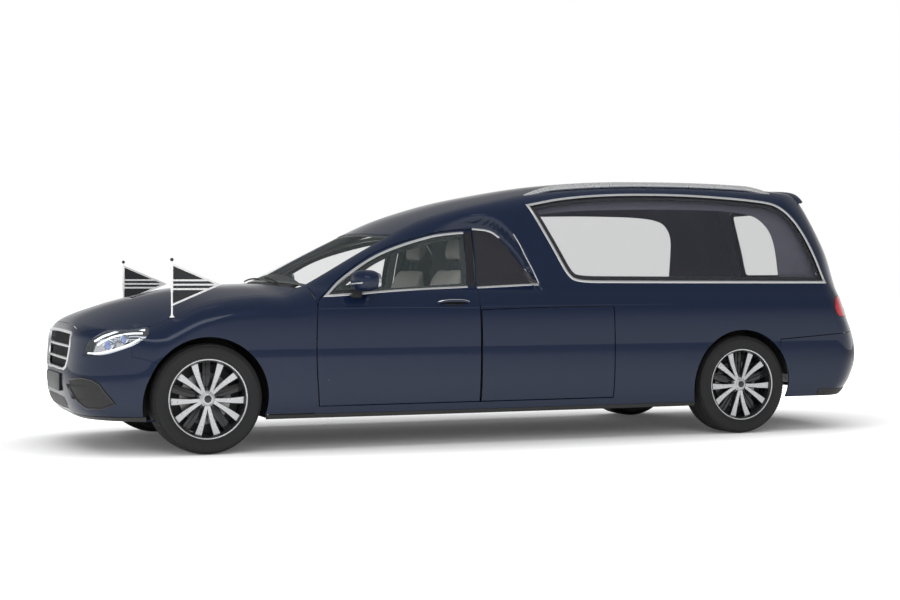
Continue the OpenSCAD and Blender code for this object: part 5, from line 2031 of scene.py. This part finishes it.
    def _staffs(self) -> None:
        """Pennant staffs with balls, and the pennants."""
        low, high = node_box("flagstaffs")
        x, y = FA + 200, (high[1] - 14)
        tall = high[2] - low[2] - self.staff_drop
        staff = lathe([(0, 0), (15, 0), (15, 4), (9, 8), (5.5, 20), (5.5, 150), (8.0, 154), (8.0, tall - 40),
                       (5, tall - 36),
                       (5, tall - 14), (0, tall - 14)], 24).turned(Matrix.Rotation(math.pi / 2, 4, "X"))
        top = lathe([(0, -11), (6, -9.3), (9.6, -5.4), (11, 0), (9.6, 5.4), (6, 9.3), (0, 11)], 24)
        staff = staff.moved((x * MM, y * MM, low[2] * MM))
        ball = top.turned(Matrix.Rotation(math.pi / 2, 4, "X")).moved((x * MM, y * MM,
            (low[2] + tall - 11) * MM))
        # The staffs' white carries a painted glow.
        pair = place_pair(staff, "pennant_staff", "body", STAFF_PAINTED_GLOW, slot="white")
        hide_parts("flagstaffs")
        place_pair(ball, "staff_ball", "body", GLOSS, slot="black")
        foot, tip = node_box("pennants")
        rise, reach = (tip[2] - foot[2]) * 1.08, tip[0] - foot[0]
        for side, way in (("left", 1), ("right", -1)):
            cloth = self._pennant(tip[0], way * y, low[2] + tall - 36 - rise, reach, rise)
            piece = place(cloth, f"pennant_{side}", "body", PENNANT, stands_for=["pennants"] if way > 0
                          else [], slot="flag")

    @staticmethod
    def _pennant(x: float, y: float, z: float, reach: float, rise: float) -> Shape:
        """A three-cornered cloth with a light wave.

        Args:
            x: the hoist.
            y: the staff's side.
            z: the hoist's lowest point.
            reach: from hoist to tip.
            rise: the hoist's length.

        Returns:
            The closed, thin cloth.
        """
        n, points, uv = 30, [], []
        for i in range(n + 1):
            u = i / n
            width = max(rise * (1 - u), 1.0)
            for j in range(13):
                v = j / 12
                wave = 3.5 * math.sin(u * 7.5 + v * 1.2) * u
                points.append((x - reach * u, y + wave, z + rise / 2 + width * (v - 0.5)))
                uv.append((u, 0.5 + (v - 0.5) * width / rise))
        sheet = np.array(points)
        count = len(sheet)
        faces = []
        for i in range(n):
            for j in range(12):
                a, b = i * 13 + j, (i + 1) * 13 + j
                faces += [(a, a + 1, b + 1, b), (count + b, count + b + 1, count + a + 1, count + a)]
        ring = ([i * 13 for i in range(n + 1)] + [n * 13 + j for j in range(1, 13)]
                + [i * 13 + 12 for i in range(n - 1, -1, -1)] + [j for j in range(11, 0, -1)])
        for a, b in zip(ring, ring[1:] + ring[:1]):
            faces.append((b, a, count + a, count + b))
        back = sheet + np.array([0.0, 1.2, 0.0])
        return outward(Shape(np.vstack([sheet, back]) * MM, faces, uv=np.array(uv + uv)))

    def _intakes(self, repeat: Repeater) -> None:
        """Lower side intakes and the middle one, with their mesh.

        Args:
            repeat: the copier.
        """
        rim = loop_of(line(View.FRONT,
                           [(735, 288), (640, 284), (590, 318), (500, 400), (500, 452), (620, 466),
                            (700, 455)],
                           14),
                      line(View.SIDE, [(FA + 625, 430), (FA + 600, 390), (FA + 545, 318), (FA + 590, 296)],
                           14))
        shape = Panel(Chart.NOSE, rim, sink=-1.2, thick=5, edge=1.2, spacing=12).shape()
        place_pair(shape, "side_intake", "body", MESH, slot="black")
        place_pair(strip(turned_out(rim), [(-6, -3), (8, -3), (7, 3), (1, 6), (-5, 3)]), "side_intake_lip",
                   "body", GLOSS,
                   slot="black")
        middle = outline(View.FRONT, [(-330, 262), (-380, 300), (-330, 336), (0, 340), (330, 336), (380, 300),
                                      (330, 262),
                                      (0, 254)], 20)
        place(Panel(Chart.NOSE, middle, sink=-1.2, thick=5, edge=1.2, spacing=24).shape(), "middle_intake",
              "body", MESH,
              slot="black")
        pin = block((-1.6, -1.6, -62), (1.6, 1.6, 62), 0.6,
                    1).turned(Matrix.Rotation(math.radians(45), 4, "X"))
        for side_name, way in (("left", 1), ("right", -1)):
            bars = repeat.copies(pin, 22, MESH, start=(0, way * 470, 378), step=(0, way * 11, 0))
            p = bars.points / MM
            bars.points[:, 0] = (nose_hit(p)[:, 0] + 1.5 + p[:, 0]) * MM
            place(bars, f"side_intake_mesh_{side_name}", "body", MESH, slot="black")

    def _lower_trims(self) -> None:
        """Dark sill trims, the front lip and the rear trim."""
        sill = line(View.SIDE, [(RA + 356, 212), (FA - 1400, 212), (FA - 368, 214)], 40)
        place_pair(strip(sill, [(-15, -6), (15, -6), (15, 2), (-13, 3)], closed=False), "sill_trim", "body",
                   SATIN,
                   slot="black")
        turn = np.linspace(0.1, math.pi - 0.1, 60)
        lip = skirt(NOSE_X, 222.0, np.stack([np.sin(turn), np.cos(turn)], 1))
        place(strip(lip, [(-16, -8), (18, -8), (18, 2), (0, 6), (-16, 4)], closed=False), "front_lip", "body",
              GLOSS,
              slot="black")
        turn = np.linspace(0.35, math.pi - 0.35, 50)
        back = skirt(CORNER_X, 268.0, np.stack([-np.sin(turn), np.cos(turn)], 1))
        place(strip(back, [(-26, -8), (26, -8), (26, 2), (0, 4), (-26, 2)], closed=False), "rear_trim",
              "body", SATIN,
              slot="black")

    def _body_lines(self) -> None:
        """Thin ridges along the waist, and the lip on the tailgate."""
        ridge = [(-12, -2.0), (-3, 1.6), (3, 1.6), (14, -2.0)]
        for name, points in (("door", [(FA - 1776, 884), (FA - 1200, 890), (FA - 706, 884)]),
                             ("rear", [(RA + 520, 900), (FA - 2400, 897), (DOOR_REAR - 12, 893)])):
            shape = strip(line(View.SIDE, points, 30), ridge, closed=False)
            place_pair(shape, f"waist_ridge_{name}", "front_door_" if name == "door" else "body", PAINT,
                       slot="paint")
        across = np.linspace(-1, 1, 60)
        top = project(View.TOP, np.stack([np.full(60, GATE_EDGE - 34.0), across * 535], 1))
        lip = sweep(top + UP * 2, np.tile([1.0, 0.0, 0.0], (60, 1)), np.tile(UP, (60, 1)),
                    [(24, -6), (24, 1), (4, 10), (-34, 9), (-40, 4), (-32, -6), (0, -10)])
        place(lip, "tailgate_lip", "tailgate", PAINT, slot="paint")

    def _wipers(self) -> None:
        """Two wipers at the foot of the windscreen."""
        arms = []
        for y0, y1 in ((470, 60), (-20, -470)):
            path = np.array([(FA - 560 - 22 * t, y0 + (y1 - y0) * t) for t in np.linspace(0, 1, 20)])
            p = project(View.TOP, path)
            normal = BODY.normal(p)
            arms.append(sweep(p + normal * 6, frame_of(p, normal, False), normal,
                              [(-5, -4), (5, -4), (4, 3), (0, 6), (-4, 3)]))
        place(arms[0].plus(arms[1]), "wipers", "body", SATIN, slot="black")


# ---- interior --------------------------------------------------------------------------------


@dataclass
class Cushion:
    """A stuffed piece: its box, how much it is crowned and its seams."""

    low: tuple[float, float, float]
    high: tuple[float, float, float]
    tilt: float = 0.0
    pivot: tuple[float, float, float] = (0.0, 0.0, 0.0)
    channels: int = 4

    def shape(self) -> Shape:
        """The crowned form with sewn channels, in metres.

        Returns:
            The pad in its place.
        """
        mesh = bmesh.new()
        bmesh.ops.create_cube(mesh, size=2)
        bmesh.ops.subdivide_edges(mesh, edges=list(mesh.edges), cuts=15, use_grid_fill=True)
        low, high = np.array(self.low), np.array(self.high)
        half = (high - low) / 2
        thin = int(np.argmin(half))
        others = [k for k in range(3) if k != thin]
        for v in mesh.verts:
            p = np.array(v.co)
            q = p.copy()
            a, b = p[others[0]], p[others[1]]
            q[thin] = p[thin] * (1 - 0.42 * (abs(a) ** 4 + abs(b) ** 4) + 0.12 * (1 - a * a) * (1 - b * b))
            q[others[0]] = a * (1 - 0.05 * (1 - b * b) * 0.6 - 0.06 * p[thin] ** 4 - 0.05 * abs(b) ** 5)
            q[others[1]] = b * (1 - 0.05 * (1 - a * a) * 0.6 - 0.06 * p[thin] ** 4 - 0.05 * abs(a) ** 5)
            wide = a if half[others[0]] >= half[others[1]] else b
            if abs(a) < 0.72 and abs(b) < 0.86:
                groove = abs(math.sin(wide * math.pi * self.channels / 1.44)) ** 0.35
                q[thin] *= 0.93 + 0.07 * groove
            v.co = Vector((low + high) / 2 + q * half)
        shape = from_bmesh(mesh)
        turn = Matrix.Translation(Vector(self.pivot) * MM) @ Matrix.Rotation(math.radians(self.tilt), 4, "Y")
        return shape.turned(turn)


@dataclass
class Interior:
    """Seats, dash, steering wheel, linings and deck."""

    seat_y: float = 385.0
    seat_x: float = FA - 1640
    seat_z: float = 235.0
    wheel_at: tuple[float, float, float] = (FA - 1010, 370.0, 880.0)
    wheel_rake: float = -65.0
    swell_cap: float = 0.006
    swell_frames: int = 20

    def build(self, repeat: Repeater) -> None:
        """Makes the interior.

        Args:
            repeat: the copier.
        """
        self._seats()
        self._dash()
        self._steering()
        self._linings()
        self._deck(repeat)

    def _seats(self) -> None:
        """Two padded seats."""
        base = (self.seat_x, self.seat_y, self.seat_z)
        pads = {
            "seat_cushion": Cushion((-80, -250, 152), (535, 250, 338), 0, base, 4),
            "seat_back": Cushion((2, -250, 0), (128, 250, 556), -14, (base[0] - 76, base[1], base[2] + 342),
                                 5),
            "head_rest": Cushion((22, -130, 622), (106, 130, 786), -14,
                                 (base[0] - 76, base[1], base[2] + 342), 1),
        }
        for name, pad in pads.items():
            shape = pad.shape()
            for side, part in (("left", shape), ("right", shape.mirrored())):
                nodes = ["front_seats"] if (name, side) == ("seat_cushion", "left") else []
                piece = place(part, f"{name}_{side}", "body", LEATHER, stands_for=nodes, slot="leather")
                if name != "head_rest":
                    self._swell(piece)
        frame_part = block((base[0] - 10, base[1] - 205, base[2]),
                           (base[0] + 450, base[1] + 205, base[2] + 150), 20, 2)
        posts = [tube([(base[0] - 148, base[1] + y, base[2] + 860),
                       (base[0] - 172, base[1] + y, base[2] + 975)], 7)
                 for y in (-55, 55)]
        place_pair(frame_part.plus(*posts), "seat_frame", "body", SATIN, slot="trim")

    def _swell(self, piece: bpy.types.Object) -> None:
        """Swells a pad a little by cloth pressure, then keeps the result.

        Args:
            piece: the pad.
        """
        scene = bpy.context.scene
        start = np.array([v.co[:] for v in piece.data.vertices])
        cloth = piece.modifiers.new("swell", "CLOTH")
        cloth.settings.use_pressure = True
        cloth.settings.uniform_pressure_force = 4
        cloth.settings.effector_weights.gravity = 0
        cloth.point_cache.frame_start, cloth.point_cache.frame_end = 1, self.swell_frames
        for number in range(1, self.swell_frames + 1):
            scene.frame_set(number)
        done = piece.evaluated_get(bpy.context.evaluated_depsgraph_get())
        end = np.array([v.co[:] for v in done.data.vertices])
        piece.modifiers.remove(cloth)
        scene.frame_set(1)
        move = end - start
        length = np.linalg.norm(move, axis=1, keepdims=True)
        final = start + move * np.minimum(1, self.swell_cap / np.maximum(length, 1e-9))
        piece.data.vertices.foreach_set("co", final.astype(np.float32).ravel())
        piece.data.update()

    def _dash(self) -> None:
        """Dashboard, its display, trim band, console and column."""
        low, high = node_box("dashboard")
        x = FA - 860
        profile = smooth_line([(x + 12, 600), (x + 2, 700), (x - 2, 780), (x + 10, 850), (x + 40, 900),
                               (x + 95, 926),
                               (x + 180, 930), (x + 250, 920), (x + 278, 890), (x + 278, 600)], 16, True)
        body = extrude(profile, -652, 652, 1)
        place(body, "dash_body", "body", TRIM, stands_for=["dashboard"], slot="trim")
        console = block((x - 500, -108, 240), (x + 20, 108, 652), 34, 4)
        place(console, "centre_console", "body", TRIM, slot="trim")
        screen = block((x - 6, -310, 838), (x + 8, 470, 926), 6, 2)
        place(screen, "dash_display", "body", GLOSS, slot="black")
        band = block((x - 8, -600, 742), (x + 12, 600, 776), 5, 2)
        place(band, "dash_band", "body", WOOD, slot="wood")
        shroud = lathe([(0, -26), (44, -28), (50, -60), (44, -190), (0, -196)], 32).turned(self._column())
        place(shroud, "column_shroud", "body", SATIN, slot="black")
        log.info("dash %d mm wide", round(high[1] - low[1]))

    def _column(self) -> Matrix:
        """Where the steering column's parts go.

        Returns:
            A matrix that takes +Y to the column's own direction.
        """
        lean = Matrix.Rotation(math.radians(self.wheel_rake), 4, "Y") @ Matrix.Rotation(math.radians(90), 4,
            "X")
        return Matrix.Translation(Vector(self.wheel_at) * MM) @ lean

    def _steering(self) -> None:
        """Steering wheel with rim, three spokes and the middle pad."""
        rim = lathe([(182 + 14 * math.cos(a), 14 * math.sin(a))
                     for a in np.linspace(0, 2 * math.pi, 16, endpoint=False)],
                    72, closed=True)
        pad = lathe([(0, 26), (38, 24), (52, 16), (56, 4), (52, -14), (0, -18)], 40)
        spoke = loft([oval((44, 0, 0), (0, 0, 24), (0, 7, 0)), oval((110, -2, 0), (0, 0, 15), (0, 6, 0)),
                      oval((176, 0, 0), (0, 0, 17), (0, 7, 0))])
        spokes = [spoke.turned(Matrix.Rotation(math.radians(a), 4, "Y")) for a in (0, 118, 242)]
        whole = rim.plus(pad, *spokes)
        place(whole.turned(self._column()), "steering_wheel_rim", "steering_wheel", SATIN,
              stands_for=["steering_wheel"],
              slot="black")

    def _linings(self) -> None:
        """Inner linings of the load space with their openings, and the headliner."""
        rim = outline(View.SIDE, [(RA - 720, 1000), (RA + 0, 1000), (FA - 2350, 1000), (FA - 2210, 1250),
                                  (FA - 2150, 1560), (FA - 2440, 1612), (FA - 2690, 1640), (RA + 330, 1658),
                                  (RA - 250, 1634), (RA - 430, 1600), (RA - 530, 1500), (RA - 610, 1370),
                                  (RA - 690, 1180)], 30)
        window = outline(View.SIDE, [(RA - 372, 1064), (RA - 360, 1330), (RA - 326, 1440), (RA - 240, 1520),
                                     (RA - 60, 1556),
                                     (RA + 340, 1566), (RA + 740, 1560), (FA - 2560, 1542), (FA - 2270, 1512),
                                     (FA - 2400, 1230), (FA - 2450, 1110), (FA - 2530, 1066)], 26)
        panel = Panel(Chart.SIDE, rim, [window], sink=50, thick=6, edge=2, spacing=34).shape()
        place_pair(panel, "load_lining", "body", LINING, slot="trim")
        roof = outline(View.TOP,
                       both_sides([(FA - 1300, 0), (FA - 1330, 480), (FA - 1850, 500), (RA + 400, 510),
                                             (RA - 560, 480), (RA - 600, 0)], 1), 40)
        place(Panel(Chart.TOP, roof, sink=26, thick=6, edge=2, spacing=60).shape(), "headliner", "body",
              SHADE,
              slot="trim")
        wall_x = FA - 2030
        wall = [(-640, 250), (-640, 1000), (-600, 1250), (-520, 1500), (-300, 1560), (0, 1572)]
        wall = smooth_line(wall + [(-a, b) for a, b in reversed(wall[:-1])], 40, True)
        place(extrude(wall, wall_x - 14, wall_x, 0), "bulkhead_panel", "body", LINING, slot="trim")

    def _deck(self, repeat: Repeater) -> None:
        """Deck boards, runners and rollers.

        Args:
            repeat: the copier.
        """
        low, high = node_box("load_deck")
        boards = []
        for number in range(9):
            y = -520 + 116 * number
            boards.append(block((RA - 940, y, 782), (FA - 2050, y + 112, 790), 2, 1))
        place(boards[0].plus(*boards[1:]), "deck_boards", "body", WOOD, slot="wood")
        runners = [block((RA - 900, y - 8, 790), (FA - 2100, y + 8, 803), 3, 2)
                   for y in (-330, -110, 110, 330)]
        place(runners[0].plus(*runners[1:]), "deck_runners", "body", CHROME, slot="chrome")
        roller = lathe([(0, -24), (9, -24), (9, 24), (0, 24)], 16)
        rollers = repeat.copies(roller, 12, SATIN, start=(RA - 840, 0, 800), step=(190, 0, 0))
        place(rollers, "deck_rollers", "body", SATIN, slot="black")
        log.info("deck %d mm long", round(high[0] - low[0]))


@dataclass
class CarriedOver:
    """CAD nodes that are shown as they are, with their finishes."""

    finishes: dict[str, Finish] = field(default_factory=lambda: {
        "underbody": STEEL, "engine": CAST, "axle_frames": CAST, "exhaust": SILVER, "wheelhouses": SATIN,
        "cowl": SATIN,
        "load_deck": LINING, "hinges": STEEL, "knuckle_left": CAST, "knuckle_right": CAST})

    def build(self) -> None:
        """Gives each node its finish."""
        for node, finish in self.finishes.items():
            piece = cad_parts[node]
            piece.data.materials.clear()
            piece.data.materials.append(finish.material())
            log.info("%s: %s", node, finish.name)


# ---- stage -----------------------------------------------------------------------------------


@dataclass
class Stage:
    """Camera, lamps, world and floor."""

    place: tuple[float, float, float] = (4.317, 10.539, 1.068)
    heading: float = 21.67
    pitch: float = 0.76
    lens: float = 64.8

    def build(self) -> None:
        """Sets everything up."""
        scene = bpy.context.scene
        scene.view_settings.view_transform = "Standard"
        camera = bpy.data.cameras.new("camera")
        camera.lens = self.lens
        camera.clip_end = 200
        eye = bpy.data.objects.new("camera", camera)
        scene.collection.objects.link(eye)
        a, p = math.radians(self.heading), math.radians(self.pitch)
        eye.location = self.place
        way = Vector((-math.sin(a) * math.cos(p), -math.cos(a) * math.cos(p), -math.sin(p)))
        eye.rotation_euler = way.to_track_quat("-Z", "Y").to_euler()
        scene.camera = eye
        self._lamp("overhead", (0, 0, 6.2), (0, 0, 0), (14.0, 9.0), 520, False)
        self._lamp("near_side", (3.0, 10.5, 4.6), (0, 0, 0.6), (12.0, 4.0), 420, False)
        self._lamp("far_side", (-2.0, -10.5, 4.6), (0, 0, 0.6), (12.0, 4.0), 240, False)
        self._lamp("nose", (10.5, 1.0, 3.4), (1.5, 0, 0.6), (6.0, 3.0), 160, False)
        self._lamp("glint", (3.5, 8.0, 6.5), (0, 0, 0.8), (7.0, 2.4), 90, True)
        self._world()
        self._floor()

    def _lamp(self, name: str, at: Sequence[float], to: Sequence[float], size: tuple[float, float],
              watts: float, mirrored: bool) -> None:
        """Adds a soft rectangular lamp.

        Args:
            name: its name.
            at: where it is.
            to: what it points at.
            size: its width and height.
            watts: its power.
            mirrored: whether gloss shows it.
        """
        lamp = bpy.data.lights.new(name, "AREA")
        lamp.shape, lamp.size, lamp.size_y, lamp.energy = "RECTANGLE", size[0], size[1], watts
        holder = bpy.data.objects.new(name, lamp)
        bpy.context.scene.collection.objects.link(holder)
        holder.location = at
        holder.visible_glossy = mirrored
        holder.rotation_euler = (Vector(to) - Vector(at)).to_track_quat("-Z", "Y").to_euler()

    def _world(self) -> None:
        """A world that is white to the camera; in gloss it is bright low down and dark above."""
        world = bpy.data.worlds.new("studio")
        bpy.context.scene.world = world
        world.use_nodes = True
        nodes, links = world.node_tree.nodes, world.node_tree.links
        path = nodes.new("ShaderNodeLightPath")
        most = nodes.new("ShaderNodeMath")
        most.operation = "MAXIMUM"
        links.new(path.outputs["Is Camera Ray"], most.inputs[0])
        links.new(path.outputs["Is Transmission Ray"], most.inputs[1])
        split = nodes.new("ShaderNodeSeparateXYZ")
        links.new(nodes.new("ShaderNodeTexCoord").outputs["Generated"], split.inputs[0])
        sky = nodes.new("ShaderNodeMapRange")
        sky.interpolation_type = "SMOOTHSTEP"
        for socket, number in (("From Min", 0.0), ("From Max", 0.3), ("To Min", 0.75), ("To Max", 0.0)):
            sky.inputs[socket].default_value = number
        links.new(split.outputs["Z"], sky.inputs["Value"])
        shiny = nodes.new("ShaderNodeMath")
        shiny.operation = "MULTIPLY"
        links.new(sky.outputs["Result"], shiny.inputs[1])
        links.new(path.outputs["Is Glossy Ray"], shiny.inputs[0])
        top = nodes.new("ShaderNodeMath")
        top.operation = "MAXIMUM"
        links.new(most.outputs[0], top.inputs[0])
        links.new(shiny.outputs[0], top.inputs[1])
        level = nodes.new("ShaderNodeMapRange")
        level.inputs["To Min"].default_value = 0.22
        level.inputs["To Max"].default_value = 1.0
        links.new(top.outputs[0], level.inputs["Value"])
        back = nodes["Background"]
        back.inputs["Color"].default_value = (1, 1, 1, 1)
        links.new(level.outputs["Result"], back.inputs["Strength"])

    def _floor(self) -> None:
        """A wide pale floor that keeps the shadow, with painted shade round the car: its glow to the camera
        fades out towards the car.
        """
        size = 60.0
        mesh = bpy.data.meshes.new("floor")
        mesh.from_pydata([(-size, -size, 0), (size, -size, 0), (size, size, 0), (-size, size, 0)], [],
                         [(0, 1, 2, 3)])
        floor = bpy.data.objects.new("floor", mesh)
        bpy.context.scene.collection.objects.link(floor)
        made = bpy.data.materials.new("studio_floor")
        made.use_nodes = True
        nodes, links = made.node_tree.nodes, made.node_tree.links
        shader = nodes["Principled BSDF"]
        grain = nodes.new("ShaderNodeTexNoise")
        grain.inputs["Scale"].default_value = 3
        tone = nodes.new("ShaderNodeMapRange")
        tone.inputs["To Min"].default_value = 0.86
        tone.inputs["To Max"].default_value = 0.9
        links.new(grain.outputs["Fac"], tone.inputs["Value"])
        links.new(tone.outputs["Result"], shader.inputs["Base Color"])
        shader.inputs["Roughness"].default_value = 0.9
        shader.inputs["Specular IOR Level"].default_value = 0.1
        path = nodes.new("ShaderNodeLightPath")
        shrink = nodes.new("ShaderNodeMapping")
        shrink.inputs["Scale"].default_value = (1 / 3.0, 1 / 1.25, 1)
        links.new(nodes.new("ShaderNodeTexCoord").outputs["Object"], shrink.inputs["Vector"])
        far = nodes.new("ShaderNodeVectorMath")
        far.operation = "LENGTH"
        links.new(shrink.outputs["Vector"], far.inputs[0])
        # Painted shade: the camera-ray glow is weak near the car and full far off, so the floor round the car
        # is darker than elsewhere, on top of the lamps' real shadow.
        painted_shade_ramp = nodes.new("ShaderNodeMapRange")
        painted_shade_ramp.interpolation_type = "SMOOTHSTEP"
        for socket, number in (("From Min", 0.75), ("From Max", 1.9), ("To Min", 0.06), ("To Max", 1.0)):
            painted_shade_ramp.inputs[socket].default_value = number
        links.new(far.outputs["Value"], painted_shade_ramp.inputs["Value"])
        lift = nodes.new("ShaderNodeMath")
        lift.operation = "MULTIPLY"
        links.new(painted_shade_ramp.outputs["Result"], lift.inputs[1])
        links.new(path.outputs["Is Camera Ray"], lift.inputs[0])
        shader.inputs["Emission Color"].default_value = (1, 1, 1, 1)
        links.new(lift.outputs[0], shader.inputs["Emission Strength"])
        mesh.materials.append(made)


def main() -> None:
    """Builds the hearse, one sub-assembly after another."""
    logging.basicConfig(level=logging.INFO, format="%(message)s")
    Stage().build()
    repeat = Repeater()
    PaintedBody().build()
    Glazing().build()
    Lamps().build()
    Grille().build(repeat)
    Wheels().build(repeat)
    Fittings().build(repeat)
    Interior().build(repeat)
    CarriedOver().build()


if __name__ == "__main__":
    main()
